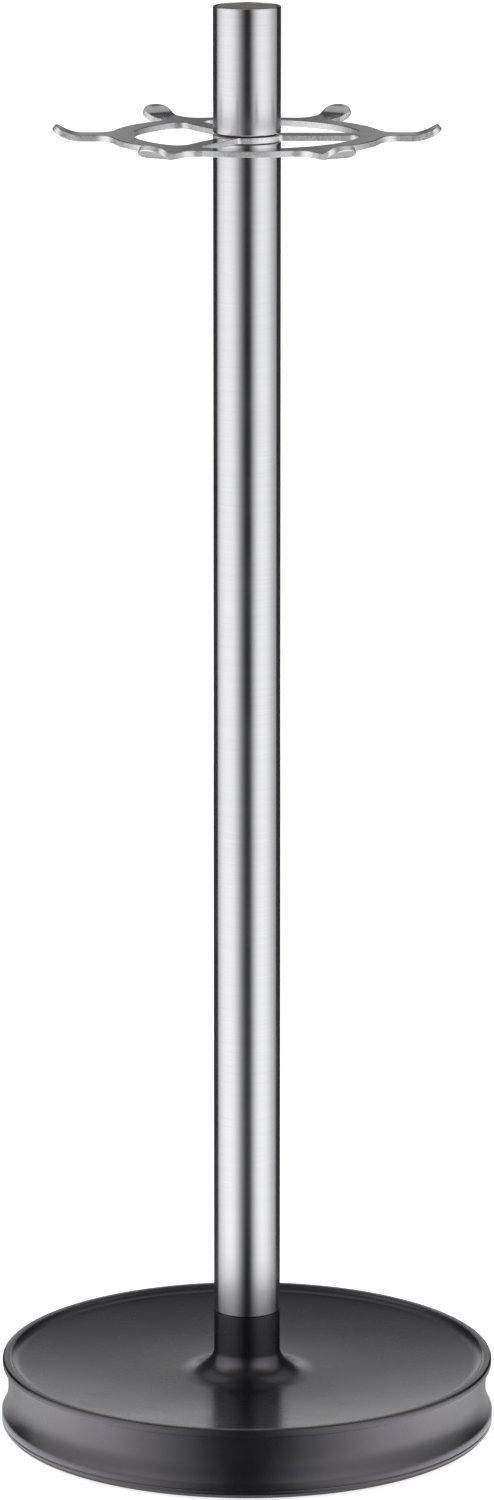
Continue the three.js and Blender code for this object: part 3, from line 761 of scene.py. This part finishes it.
def bending_tree(sizes):
    tree, given = shape_tree("bend_fingers", sizes)
    position = add(tree, "GeometryNodeInputPosition")
    aim = work_out(tree, position, given, [
        ("angle", "ARCTAN2", "y", "x"),
        ("pitch", "DIVIDE", 2 * math.pi, "Fingers"),
        ("fingers round", "DIVIDE", "angle", "pitch"),
        ("nearest finger", "ROUND", "fingers round"),
        ("turned out", "MULTIPLY", "pitch", "nearest finger"),
        ("turned in", "MULTIPLY", "turned out", -1.0),
    ])
    inward = add(
        tree, "ShaderNodeVectorRotate", {"Vector": position, "Axis": (0, 0, 1), "Angle": aim["turned in"]},
        rotation_type="AXIS_ANGLE",
    )
    curl = work_out(tree, inward, given, [
        ("past", "SUBTRACT", "x", "Bend start"),
        ("over", "MAXIMUM", "past", 0.0),
        ("full", "MULTIPLY", "Bend radius", "Bend angle"),
        ("wrapped", "MINIMUM", "over", "full"),
        ("swing", "DIVIDE", "wrapped", "Bend radius"),
        ("beyond", "SUBTRACT", "over", "full"),
        ("straight", "MAXIMUM", "beyond", 0.0),
        ("arm", "SUBTRACT", "Bend radius", "z"),
        ("sine", "SINE", "swing"),
        ("cosine", "COSINE", "swing"),
        ("flat", "MINIMUM", "x", "Bend start"),
        ("arm out", "MULTIPLY", "arm", "sine"),
        ("tip out", "MULTIPLY", "straight", "cosine"),
        ("bent out", "ADD", "flat", "arm out"),
        ("out", "ADD", "bent out", "tip out"),
        ("arm up", "MULTIPLY", "arm", "cosine"),
        ("tip up", "MULTIPLY", "straight", "sine"),
        ("bent up", "SUBTRACT", "Bend radius", "arm up"),
        ("up", "ADD", "bent up", "tip up"),
        ("height", "ADD", "up", "Height"),
    ])
    bent = add(tree, "ShaderNodeCombineXYZ", [curl["out"], curl["y"], curl["height"]])
    outward = add(
        tree, "ShaderNodeVectorRotate", {"Vector": bent, "Axis": (0, 0, 1), "Angle": aim["turned out"]},
        rotation_type="AXIS_ANGLE",
    )
    moved = add(tree, "GeometryNodeSetPosition", {"Geometry": given["Geometry"], "Position": outward})
    real = add(tree, "GeometryNodeRealizeInstances", [moved])
    faces = add(tree, "GeometryNodeSetMaterial", {"Geometry": real, "Material": SHEET})
    side = add(tree, "GeometryNodeInputNamedAttribute", {"Name": "blanked"}, data_type="BOOLEAN")
    edges = add(tree, "GeometryNodeSetMaterial", {
        "Geometry": faces, "Selection": side.outputs["Attribute"], "Material": EDGE,
    })
    add(tree, "NodeGroupOutput", [edges])
    return tree


bend_sizes = {
    "Fingers": float(FINGERS), "Bend start": BEND_START * MM, "Bend radius": BEND_RADIUS * MM,
    "Bend angle": BEND_ANGLE, "Height": (plate_bottom + plate_top) / 2 * MM,
}
bend_fingers = bending_tree(bend_sizes)
print("nodes in the bending tree:", len(bend_fingers.nodes))

# %% [markdown]
# A tree is run once and its result kept as a plain mesh, so that nothing is left to change later. Each
# size is set by its socket's identifier before the first evaluation. Weighted normals keep the broad
# faces flat to the eye next to their narrow rounded edges.


# %% Run a tree and keep its result as a plain mesh
def grow(name, source, tree, sizes):
    """A start object run through a tree with its named sizes, kept as a plain mesh with no modifier."""
    modifier = source.modifiers.new("grow", "NODES")
    modifier.node_group = tree
    sockets = {item.name: item.identifier for item in tree.interface.items_tree if item.in_out == "INPUT"}
    for key, value in sizes.items():
        modifier[sockets[key]] = value
    shading = source.modifiers.new("even shading", "WEIGHTED_NORMAL")
    shading.keep_sharp = True
    return put(name, plain_mesh(source))


hook_wheel = grow("hook_wheel", blank, bend_fingers, bend_sizes)
fit(hook_wheel, "carousel", "plate_steel", "hook_plate")
reach = max(math.hypot(v.co.x, v.co.y) for v in hook_wheel.data.vertices) / MM
print(f"the wheel reaches {reach:.2f} mm; the frame's reaches {round_node('hook_plate')[1]:.2f} mm")

# %% [markdown]
# ## Bush, washers and plugs
# These are plain turned parts. Each takes its four sizes from the frame, and a broken edge all round:
# hardly any on a washer, more on a plug that is pressed into a tube, and most on a casting.

# %% Plain turned parts
BROKEN_EDGE, PLUG_EDGE, CAST_EDGE = 0.15, 0.4, 1.2
RINGS = [
    ("lower_slide", "lower_slide_washer", "stand", "natural_nylon", NYLON, BROKEN_EDGE),
    ("upper_slide", "upper_slide_washer", "stand", "natural_nylon", NYLON, BROKEN_EDGE),
    ("bush_sleeve", "hub_bush", "carousel", "natural_nylon", NYLON, BROKEN_EDGE),
    ("flat_washer", "bolt_washer", "stand", "zinc_steel", ZINC, BROKEN_EDGE),
    ("lower_plug", "post_bottom_plug", "stand", "zinc_steel", ZINC, PLUG_EDGE),
    ("grip_insert", "grip_plug", "stand", "zinc_steel", ZINC, PLUG_EDGE),
    ("ballast_casting", "ballast_ring", "stand", "cast_iron", IRON, CAST_EDGE),
]
for name, node, body, slot, material, edge in RINGS:
    inner, outer, low, high = round_node(node)
    corners = [(inner, low, edge), (outer, low, edge), (outer, high, edge), (inner, high, edge)]
    fit(turned(name, rounded(corners), segments=64), body, slot, node, finish=material)

# %% [markdown]
# The upper plug is one steel turning with two jobs: its wide end is pressed into the post, and its narrow
# end is the journal that the wheel's bush runs on. Its bore takes the stud that joins the grip.

# %% Upper plug with the journal
SHOULDER_EDGE, JOURNAL_EDGE = 0.3, 0.2
plug_radii, plug_heights = node_points("post_top_plug")
plug_radius, plug_bottom, plug_top = round_node("post_top_plug")[1:]
shoulder = plug_heights[plug_radii > plug_radius - NEAR].max()
journal_radius = plug_radii[plug_heights > plug_top - NEAR].max()
stud_bore = stud_radius + CLEARANCE
bore_bottom = round_node("grip_stud")[2] - CLEARANCE
upper_plug = turned("upper_plug", rounded([
    (0, plug_bottom, 0), (plug_radius, plug_bottom, PLUG_EDGE), (plug_radius, shoulder, SHOULDER_EDGE),
    (journal_radius, shoulder, JOURNAL_EDGE), (journal_radius, plug_top, PLUG_EDGE),
    (stud_bore, plug_top, JOURNAL_EDGE), (stud_bore, bore_bottom, 0), (0, bore_bottom, 0),
]), segments=96)
fit(upper_plug, "stand", "zinc_steel", "post_top_plug", finish=ZINC)

# %% [markdown]
# ## Rolled threads
# The stud and the bolt are M6, a thread with 1 mm pitch. A thread follows one rule: a V that climbs one
# pitch in each turn. The tree takes a plain bar with many rings and pulls each point inwards by how deep
# the V is at its own angle and height. At both ends the thread runs out, so that the bar keeps its flat
# faces. The shank shows only when the stand is taken apart.

# %% The threading tree
THREAD_PITCH, THREAD_DEPTH, THREAD_RINGS = 1.0, 0.6, 10
LEAST = 0.0001


def threading_tree(sizes):
    tree, given = shape_tree("roll_thread", sizes)
    cut = work_out(tree, add(tree, "GeometryNodeInputPosition"), given, [
        ("angle", "ARCTAN2", "y", "x"),
        ("turns round", "DIVIDE", "angle", 2 * math.pi),
        ("turns up", "DIVIDE", "z", "Pitch"),
        ("turns apart", "SUBTRACT", "turns up", "turns round"),
        ("phase", "FRACT", "turns apart"),
        ("off the root", "SUBTRACT", "phase", 0.5),
        ("slope", "ABSOLUTE", "off the root"),
        ("valley", "MULTIPLY", "slope", 2.0),
        ("over start", "SUBTRACT", "z", "Start"),
        ("above", "DIVIDE", "over start", "Pitch"),
        ("under end", "SUBTRACT", "End", "z"),
        ("below", "DIVIDE", "under end", "Pitch"),
        ("nearer end", "MINIMUM", "above", "below"),
        ("within", "MAXIMUM", "nearer end", 0.0),
        ("fade", "MINIMUM", "within", 1.0),
        ("x squared", "MULTIPLY", "x", "x"),
        ("y squared", "MULTIPLY", "y", "y"),
        ("radius squared", "ADD", "x squared", "y squared"),
        ("radius", "SQRT", "radius squared"),
        ("outside", "GREATER_THAN", "radius", "Least radius"),
        ("faded", "MULTIPLY", "valley", "fade"),
        ("depth", "MULTIPLY", "faded", "Depth"),
        ("cut", "MULTIPLY", "depth", "outside"),
        ("some radius", "MAXIMUM", "radius", LEAST),
        ("share", "DIVIDE", "cut", "some radius"),
        ("x cut", "MULTIPLY", "x", "share"),
        ("x in", "MULTIPLY", "x cut", -1.0),
        ("y cut", "MULTIPLY", "y", "share"),
        ("y in", "MULTIPLY", "y cut", -1.0),
    ])
    inward = add(tree, "ShaderNodeCombineXYZ", [cut["x in"], cut["y in"]])
    moved = add(tree, "GeometryNodeSetPosition", {"Geometry": given["Geometry"], "Offset": inward})
    real = add(tree, "GeometryNodeRealizeInstances", [moved])
    add(tree, "NodeGroupOutput", [add(tree, "GeometryNodeSetMaterial", {"Geometry": real, "Material": ZINC})])
    return tree


def thread_sizes(start, end):
    """The threading tree's inputs for a thread between two heights in mm."""
    return {
        "Pitch": THREAD_PITCH * MM, "Start": start * MM, "End": end * MM, "Depth": THREAD_DEPTH * MM,
        "Least radius": (stud_radius - THREAD_DEPTH - NEAR) * MM,
    }


stud_low, stud_high = round_node("grip_stud")[2:]
stud_range = thread_sizes(stud_low + THREAD_DEPTH, stud_high - THREAD_DEPTH)
roll_thread = threading_tree(stud_range)
print("nodes in the threading tree:", len(roll_thread.nodes))

# %% [markdown]
# The stud is threaded from end to end, with a chamfer at each. It pulls the grip down on the journal.


# %% Threaded stud
def bar_side(radius, low, high):
    """The upright side of a bar with enough rings for a thread."""
    count = round((high - low) / THREAD_PITCH * THREAD_RINGS)
    return [(radius, low + (high - low) * i / count) for i in range(count + 1)]


root_radius = stud_radius - THREAD_DEPTH
stud_blank = turned("stud_blank", [
    (0, stud_low), (root_radius, stud_low),
    *bar_side(stud_radius, stud_low + THREAD_DEPTH, stud_high - THREAD_DEPTH),
    (root_radius, stud_high), (0, stud_high),
], segments=48)
fit(grow("threaded_stud", stud_blank, roll_thread, stud_range), "stand", "zinc_steel", "grip_stud")

# %% [markdown]
# ## The bolt in the neck
# A socket-head bolt pulls the neck on to the lower plug. Its head has a hexagon socket, which is reached
# from under the base through the hole in the cover. The socket is drawn into the turned outline: below
# its depth each point of the bore is moved out to the flat of the hexagon.

# %% Socket-head bolt
SOCKET_ACROSS, SOCKET_DEPTH, SOCKET_MOUTH = 5.0, 3.2, 0.25
HEAD_EDGE, SEAT_EDGE, SHANK_START = 0.5, 0.2, 0.3
FLAT = math.pi / 3
ON_BORE = 0.01
bolt_low, bolt_high = round_node("post_bolt")[2:]
bolt_radii, bolt_heights = node_points("post_bolt")
head_radius = bolt_radii.max()
head_top = bolt_heights[bolt_radii > head_radius - NEAR].max()
socket_top = bolt_low + SOCKET_DEPTH
socket_bore = SOCKET_ACROSS / 2
bolt_blank = turned("bolt_blank", [
    (0, socket_top), (socket_bore, socket_top), (socket_bore, bolt_low + SOCKET_MOUTH),
    (socket_bore / math.cos(FLAT / 2) + SOCKET_MOUTH, bolt_low),
    *rounded([(0, bolt_low, 0), (head_radius, bolt_low, HEAD_EDGE), (head_radius, head_top, SEAT_EDGE),
              (stud_radius, head_top, 0)])[1:-1],
    (stud_radius, head_top),
    *bar_side(stud_radius, head_top + SHANK_START, bolt_high - THREAD_DEPTH),
    (root_radius, bolt_high), (0, bolt_high),
], segments=48)
for vertex in bolt_blank.data.vertices:
    x, y, z = vertex.co / MM
    if z <= socket_top + ON_BORE and abs(math.hypot(x, y) - socket_bore) < ON_BORE:
        off_flat = (math.atan2(y, x) + FLAT / 2) % FLAT - FLAT / 2
        vertex.co.x *= 1 / math.cos(off_flat)
        vertex.co.y *= 1 / math.cos(off_flat)
bolt_range = thread_sizes(round_node("post_bottom_plug")[2], bolt_high - THREAD_DEPTH)
fit(grow("socket_bolt", bolt_blank, roll_thread, bolt_range), "stand", "zinc_steel", "post_bolt")

# %% [markdown]
# ## The spring washer
# A spring washer is a ring of square wire, cut through and twisted, so that its ends stand apart in
# height. It is swept along one turn that stops short of a full circle.

# %% Spring washer
WASHER_GAP, WASHER_LIFT, WASHER_STEPS = math.radians(14), 0.25, 60
WIRE_INNER_EDGE, WIRE_OUTER_EDGE = 0.15, 0.2


def spring_washer():
    inner, outer, low, high = round_node("bolt_spring_washer")
    corners = rounded([
        (inner, low, WIRE_INNER_EDGE), (outer, low, WIRE_OUTER_EDGE),
        (outer, high - WASHER_LIFT, WIRE_OUTER_EDGE), (inner, high - WASHER_LIFT, WIRE_INNER_EDGE),
    ])
    points = []
    for step in range(WASHER_STEPS + 1):
        share = step / WASHER_STEPS
        angle = WASHER_GAP / 2 + (2 * math.pi - WASHER_GAP) * share
        points += [(r * math.cos(angle), r * math.sin(angle), z + WASHER_LIFT * share) for r, z in corners]
    count = len(corners)
    faces = [tuple(range(count)), tuple(range(count * WASHER_STEPS, count * (WASHER_STEPS + 1)))]
    for step in range(WASHER_STEPS):
        for i in range(count):
            j = (i + 1) % count
            faces.append((step * count + i, step * count + j, (step + 1) * count + j, (step + 1) * count + i))
    return object_from("spring_washer", points, faces)


fit(spring_washer(), "stand", "zinc_steel", "bolt_spring_washer", finish=ZINC)

# %% [markdown]
# ## The underside
# A plate closes the base. It has a hole for the bolt's key and four screw holes, so it is drawn as a flat
# outline with holes, like the wheel.

# %% Cover plate
cover_bore, cover_radius = round_node("base_cover")[:2]
cover_outlines = [arc(0, 0, cover_radius, 0, 360, 128)[:-1], arc(0, 0, cover_bore, 0, 360, 48)[:-1]]
cover_outlines += [arc(x, y, HOLE_RADIUS, 0, 360, 24)[:-1] for x, y in screw_places]
underside_cover, shape = extruded("underside_cover", cover_outlines, cover_top - cover_bottom)
bmesh.ops.translate(shape, verts=shape.verts, vec=(0, 0, (cover_top + cover_bottom) / 2 * MM))
bmesh.ops.recalc_face_normals(shape, faces=shape.faces)
shape.to_mesh(underside_cover.data)
shape.free()
finish_mesh(underside_cover.data)
fit(underside_cover, "stand", "cover_plastic", "base_cover", finish=POLYPROPYLENE)

# %% [markdown]
# A soft ring under the rim keeps the stand from sliding. Its tread is made of fine concentric ribs, which
# are one rib's shape repeated along the turned outline.

# %% Foot with ribs
FOOT_RIBS, RIB_HEIGHT = 6, 0.35
RIB_SHAPE = [(0.15, RIB_HEIGHT), (0.3, 0), (0.7, 0), (0.85, RIB_HEIGHT)]
foot_inner, foot_outer, foot_low, foot_high = round_node("foot_ring")
rib_pitch = (foot_outer - foot_inner) / FOOT_RIBS
tread = [
    (foot_inner + (i + share) * rib_pitch, foot_low + up) for i in range(FOOT_RIBS) for share, up in RIB_SHAPE
]
foot_tread = turned("foot_tread", [
    (foot_inner, foot_low + RIB_HEIGHT), *tread, (foot_outer, foot_low + RIB_HEIGHT),
    (foot_outer, foot_high), (foot_inner, foot_high),
], segments=160)
fit(foot_tread, "stand", "soft_foot", "foot_ring", finish=ELASTOMER)

# %% [markdown]
# ## Cover screws
# One screw is drawn in full: a pan head with a cross recess and a coarse thread for plastic. The recess
# is two crossed boxes, cut out with a Boolean. Its sizes are those of a common 3 mm screw.

# %% One screw
HEAD_RADIUS, HEAD_HEIGHT, HEAD_SEAT = 3.0, 1.4, 0.1
PAN_HEAD = [(0.0, 0.0), (0.9, 0.0), (1.9, 0.1), (2.6, 0.45), (HEAD_RADIUS, 0.85)]
RECESS_WIDTH, RECESS_LENGTH, RECESS_DEPTH = 0.8, 3.4, 0.9
SCREW_PITCH, SCREW_THREAD, CREST = 1.35, 0.35, 0.1
FIRST_THREAD, LAST_THREAD = 0.5, 1.6
TIP_LENGTH, TIP_RADIUS = 1.3, 0.5


def one_screw():
    """A screw with its head below z = 0 and its thread above."""
    core = SCREW_RADIUS - SCREW_THREAD
    length = screw_high - screw_low - HEAD_HEIGHT
    outline = [(r, z - HEAD_HEIGHT) for r, z in PAN_HEAD]
    outline += [(HEAD_RADIUS, -HEAD_SEAT), (HEAD_RADIUS - HEAD_SEAT, 0), (core, 0)]
    z = FIRST_THREAD
    while z < length - LAST_THREAD:
        middle = z + SCREW_PITCH / 2
        outline += [(core, z), (SCREW_RADIUS, middle - CREST), (SCREW_RADIUS, middle + CREST)]
        z += SCREW_PITCH
    outline += [(core, length - TIP_LENGTH), (TIP_RADIUS, length), (0, length)]
    cutter = bmesh.new()
    for size in [(RECESS_LENGTH, RECESS_WIDTH), (RECESS_WIDTH, RECESS_LENGTH)]:
        box = bmesh.ops.create_cube(cutter, size=1.0)["verts"]
        bmesh.ops.scale(cutter, verts=box, vec=(size[0] * MM, size[1] * MM, 2 * RECESS_DEPTH * MM))
    bmesh.ops.translate(cutter, verts=cutter.verts, vec=(0, 0, -HEAD_HEIGHT * MM))
    cross = bpy.data.meshes.new("cross")
    cutter.to_mesh(cross)
    cutter.free()
    blank_screw = turned("screw_blank", outline, segments=32)
    return carved(blank_screw, "one_screw", [("DIFFERENCE", put("cross", cross))], crossed=True)


screw = one_screw()
print("faces of one screw:", len(screw.data.polygons))

# %% [markdown]
# The four screws are one screw repeated, so Geometry Nodes sets a copy on each point of a circle. The
# number of screws and the circle's radius are the tree's inputs, and each screw stops at its own angle,
# as real ones do.

# %% The circle of screws
SCREW_SPIN = 0.7


def screw_tree(sizes, screw):
    tree, given = shape_tree("screws_on_circle", sizes)
    circle = add(tree, "GeometryNodeMeshCircle", {
        "Vertices": given["Screws"], "Radius": given["Circle radius"],
    })
    lifted = add(tree, "ShaderNodeCombineXYZ", {"Z": given["Height"]})
    raised = add(tree, "GeometryNodeSetPosition", {"Geometry": circle, "Offset": lifted})
    shape = add(tree, "GeometryNodeObjectInfo", {"Object": screw})
    index = add(tree, "GeometryNodeInputIndex")
    angle = add(tree, "ShaderNodeMath", [index, given["Spin"]], operation="MULTIPLY")
    spin = add(tree, "ShaderNodeCombineXYZ", {"Z": angle})
    copies = add(tree, "GeometryNodeInstanceOnPoints", {
        "Points": raised, "Instance": shape.outputs["Geometry"], "Rotation": spin,
    })
    real = add(tree, "GeometryNodeRealizeInstances", [copies])
    add(tree, "NodeGroupOutput", [add(tree, "GeometryNodeSetMaterial", {"Geometry": real, "Material": ZINC})])
    return tree


screw_sizes = {
    "Screws": float(SCREWS), "Circle radius": screw_circle * MM,
    "Height": (screw_low + HEAD_HEIGHT) * MM, "Spin": SCREW_SPIN,
}
circle_start = put("circle_start", bpy.data.meshes.new("circle_start"))
fasteners = grow("cover_fasteners", circle_start, screw_tree(screw_sizes, screw), screw_sizes)
bpy.data.objects.remove(screw)
fit(fasteners, "stand", "zinc_steel", *[f"cover_screw_{i + 1}" for i in range(SCREWS)])

# %% [markdown]
# ## The studio
# The stand is lit by two large soft boxes, one each side, with a dark gap where the camera stands and a
# pale backdrop that fades upwards. In a polished tube those show as two bright bands beside a dark centre
# line. The boxes are painted on the world by direction, so every view of the stand gets the same room.
# Each list gives degrees, round from the front or up from the horizon, and the brightness there.

# %% World light by direction
SIDE_LIGHT = 1.55
SIDE_BOXES = [
    (-122, 0.01), (-118, 0.5), (-109, 0.7), (-99, 0.84), (-80, 1.0), (-60, 1.0), (-47, 0.9), (-33, 0.6),
    (-15, 0.14), (-5, 0.015), (8, 0.015), (13, 0.08), (24, 0.52), (36, 0.86), (50, 1.0), (67, 0.96),
    (84, 0.76), (103, 0.48), (117, 0.38), (122, 0.01),
]
SIDE_HEIGHT = [
    (-90, 0.2), (-40, 0.5), (-26, 1.0), (-6, 1.0), (4, 0.75), (20, 0.75), (30, 1.0), (48, 1.0), (62, 0.22),
    (90, 0.07),
]
BACK_AROUND = [(-180, 1.0), (-140, 1.0), (-126, 0.0), (126, 0.0), (140, 1.0), (180, 1.0)]
BACK_HEIGHT = [(28, 0.02), (38, 0.25), (60, 0.35), (75, 0.2), (90, 0.08)]
TABLE_HEIGHT = [(-90, 0.4), (-36, 0.35), (-22, 0.0)]


def ramp(pairs, span, start=0.0):
    """A ramp's stops from places on a scale that runs from start over a span."""
    return [((place - start) / span, value) for place, value in pairs]


def studio_world():
    world = bpy.data.worlds.new("studio")
    bpy.context.scene.world = world
    world.use_nodes = True
    tree = world.node_tree
    tree.nodes.clear()
    direction = add(tree, "ShaderNodeTexCoord").outputs["Generated"]
    light = work_out(tree, direction, {}, [
        ("forward", "MULTIPLY", "y", -1.0),
        ("azimuth", "ARCTAN2", "x", "forward"),
        ("share round", "DIVIDE", "azimuth", 2 * math.pi),
        ("around", "ADD", "share round", 0.5),
        ("elevation", "ARCSINE", "z"),
        ("share up", "DIVIDE", "elevation", math.pi),
        ("up", "ADD", "share up", 0.5),
        ("side", ramp(SIDE_BOXES, 360, -180), "around"),
        ("side height", ramp(SIDE_HEIGHT, 180, -90), "up"),
        ("back", ramp(BACK_AROUND, 360, -180), "around"),
        ("back height", ramp(BACK_HEIGHT, 180, -90), "up"),
        ("table", ramp(TABLE_HEIGHT, 180, -90), "up"),
        ("boxes", "MULTIPLY", "side", "side height"),
        ("backdrop", "MULTIPLY", "back", "back height"),
        ("walls", "ADD", "boxes", "backdrop"),
        ("total", "ADD", "walls", "table"),
        ("light", "MULTIPLY", "total", SIDE_LIGHT),
    ])["light"]
    room = add(tree, "ShaderNodeBackground", {"Color": light})
    seen = add(tree, "ShaderNodeBackground", {"Color": (1, 1, 1, 1), "Strength": 1.0})
    path = add(tree, "ShaderNodeLightPath").outputs["Is Camera Ray"]
    add(tree, "ShaderNodeOutputWorld", [add(tree, "ShaderNodeMixShader", [path, room, seen])])


studio_world()
print("brightest part of the room:", SIDE_LIGHT)

# %% [markdown]
# The backdrop stands close behind, so it is a real card and not a direction: pale at its foot, darker
# higher up, and darker down the middle, where the stand itself keeps the light off. Close to, each part
# of the dish looks at its own height on the card, which is what shades a shallow bowl from front to back.

# %% Backdrop card
CARD_DISTANCE, CARD_TOP, CARD_HALF = 1000.0, 1250.0, 400.0
CARD_SWING, CARD_COLUMNS = 14, 25
CARD_LIGHT = 1.75
CARD_HEIGHT = [
    (0, 1.0), (140, 0.84), (230, 0.68), (300, 0.5), (400, 0.33), (520, 0.31), (600, 0.24), (680, 0.07),
    (1250, 0.05),
]
CARD_WIDE = [(0, 0.72), (60, 0.74), (130, 0.85), (250, 1.0), (400, 1.0)]
STRIPE_ACROSS = [(0, 0.75), (25, 0.7), (50, 0.3), (80, 0.03), (130, 0.0), (400, 0.0)]
STRIPE_HEIGHT = [(0, 0.0), (350, 0.0), (430, 1.0), (555, 1.0), (585, 0.2), (1250, 0.2)]


def glow(piece, name, rows):
    """A glow that a recipe works out from the place on a piece that only reflections see."""
    piece.visible_camera = False
    piece.visible_diffuse = False
    piece.visible_shadow = False
    material = bare_material(name)
    tree = material.node_tree
    place = add(tree, "ShaderNodeTexCoord").outputs["Object"]
    light = work_out(tree, place, {}, rows)["light"]
    emission = add(tree, "ShaderNodeEmission", {"Strength": light})
    add(tree, "ShaderNodeOutputMaterial", [emission])
    piece.data.materials.append(material)


foot = arc(0, 0, CARD_DISTANCE, 90 - CARD_SWING, 90 + CARD_SWING, CARD_COLUMNS - 1)
card = object_from(
    "backdrop_card", [(x, y, z) for z in (0, CARD_TOP) for x, y in foot],
    [(i, i + 1, CARD_COLUMNS + i + 1, CARD_COLUMNS + i) for i in range(CARD_COLUMNS - 1)],
)
glow(card, "lit_backdrop", [
    ("up", "DIVIDE", "z", CARD_TOP * MM),
    ("off centre", "ABSOLUTE", "x"),
    ("across", "DIVIDE", "off centre", CARD_HALF * MM),
    ("by height", ramp(CARD_HEIGHT, CARD_TOP), "up"),
    ("by width", ramp(CARD_WIDE, CARD_HALF), "across"),
    ("stripe across", ramp(STRIPE_ACROSS, CARD_HALF), "across"),
    ("stripe height", ramp(STRIPE_HEIGHT, CARD_TOP), "up"),
    ("stripe", "MULTIPLY", "stripe across", "stripe height"),
    ("left over", "SUBTRACT", 1.0, "stripe"),
    ("kept", "MULTIPLY", "left over", "by width"),
    ("shade", "MULTIPLY", "by height", "kept"),
    ("light", "MULTIPLY", "shade", CARD_LIGHT),
])
print(f"card {CARD_TOP:.0f} mm high, {CARD_DISTANCE:.0f} mm behind the post")

# %% [markdown]
# The stand is on a white sheet, and the base's wall mirrors only the part of it that lies right beside
# it: bright at the sides and behind, dark in front, where the camera keeps the light off. A flat ring on
# the floor carries that light. Only reflections see it.

# %% Sheet round the base
SHEET_INNER, SHEET_OUTER = 81.5, 150.0
SHEET_LOW, SHEET_HIGH = 0.05, 0.1
SHEET_LIGHT = 2.5
SHEET_AROUND = [
    (0, 0.025), (10, 0.06), (28, 0.44), (45, 0.82), (62, 0.92), (80, 0.68), (100, 0.3), (130, 0.18),
    (180, 0.15),
]
sheet_ring = turned("sheet_round_base", [
    (SHEET_INNER, SHEET_LOW), (SHEET_OUTER, SHEET_LOW), (SHEET_OUTER, SHEET_HIGH), (SHEET_INNER, SHEET_HIGH),
])
glow(sheet_ring, "lit_sheet", [
    ("forward", "MULTIPLY", "y", -1.0),
    ("azimuth", "ARCTAN2", "x", "forward"),
    ("off centre", "ABSOLUTE", "azimuth"),
    ("around", "DIVIDE", "off centre", math.pi),
    ("shade", ramp(SHEET_AROUND, 180), "around"),
    ("light", "MULTIPLY", "shade", SHEET_LIGHT),
])
print(f"lit sheet from {SHEET_INNER} to {SHEET_OUTER} mm")

# %% [markdown]
# The floor is a wide pale sheet. It glows a little, as a lit studio table does, so that it stays white to
# the edge of the picture and keeps only a faint shadow under the base.

# %% Floor
FLOOR_RADIUS = 20.0
FLOOR_GLOW = 0.75


def floor():
    mesh = bpy.data.meshes.new("floor")
    shape = bmesh.new()
    bmesh.ops.create_circle(shape, cap_ends=True, segments=96, radius=FLOOR_RADIUS)
    shape.to_mesh(mesh)
    shape.free()
    mesh.materials.append(new_finish(
        "studio_floor", {"grain": ((3, 3, 3), 3.0)}, colour=("grain", "#f0f0f0", "#f4f4f4"), Roughness=0.9,
        Specular_IOR_Level=0.0, Emission_Color=(1, 1, 1, 1), Emission_Strength=FLOOR_GLOW,
    ))
    sheet = put("floor", mesh)
    sheet.visible_glossy = False


floor()
print(f"floor {2 * FLOOR_RADIUS:.0f} m across")

# %% [markdown]
# ## Camera
# A long lens from two metres away keeps the post's sides nearly parallel, and the camera looks down a
# little, so that the wheel and the dish both open up.

# %% Camera
CAMERA_BACK, CAMERA_HEIGHT = 2.0993, 0.6943
CAMERA_DOWN = math.radians(12.574)
FOCAL_LENGTH, SENSOR_WIDTH = 160.78, 36.0

camera_data = bpy.data.cameras.new("camera")
camera_data.lens = FOCAL_LENGTH
camera_data.sensor_width = SENSOR_WIDTH
camera = put("camera", camera_data)
camera.location = (0, -CAMERA_BACK, CAMERA_HEIGHT)
camera.rotation_euler = (math.pi / 2 - CAMERA_DOWN, 0, 0)
bpy.context.scene.camera = camera
bpy.context.scene.view_settings.view_transform = "Standard"
print(f"camera {CAMERA_BACK} m away with a {FOCAL_LENGTH} mm lens")

# %% [markdown]
# ## The last update
# The finished surfaces are meant to fill the same box as the CAD part. The view layer is updated once more.

# %% Update the view layer, and finish
bpy.context.view_layer.update()
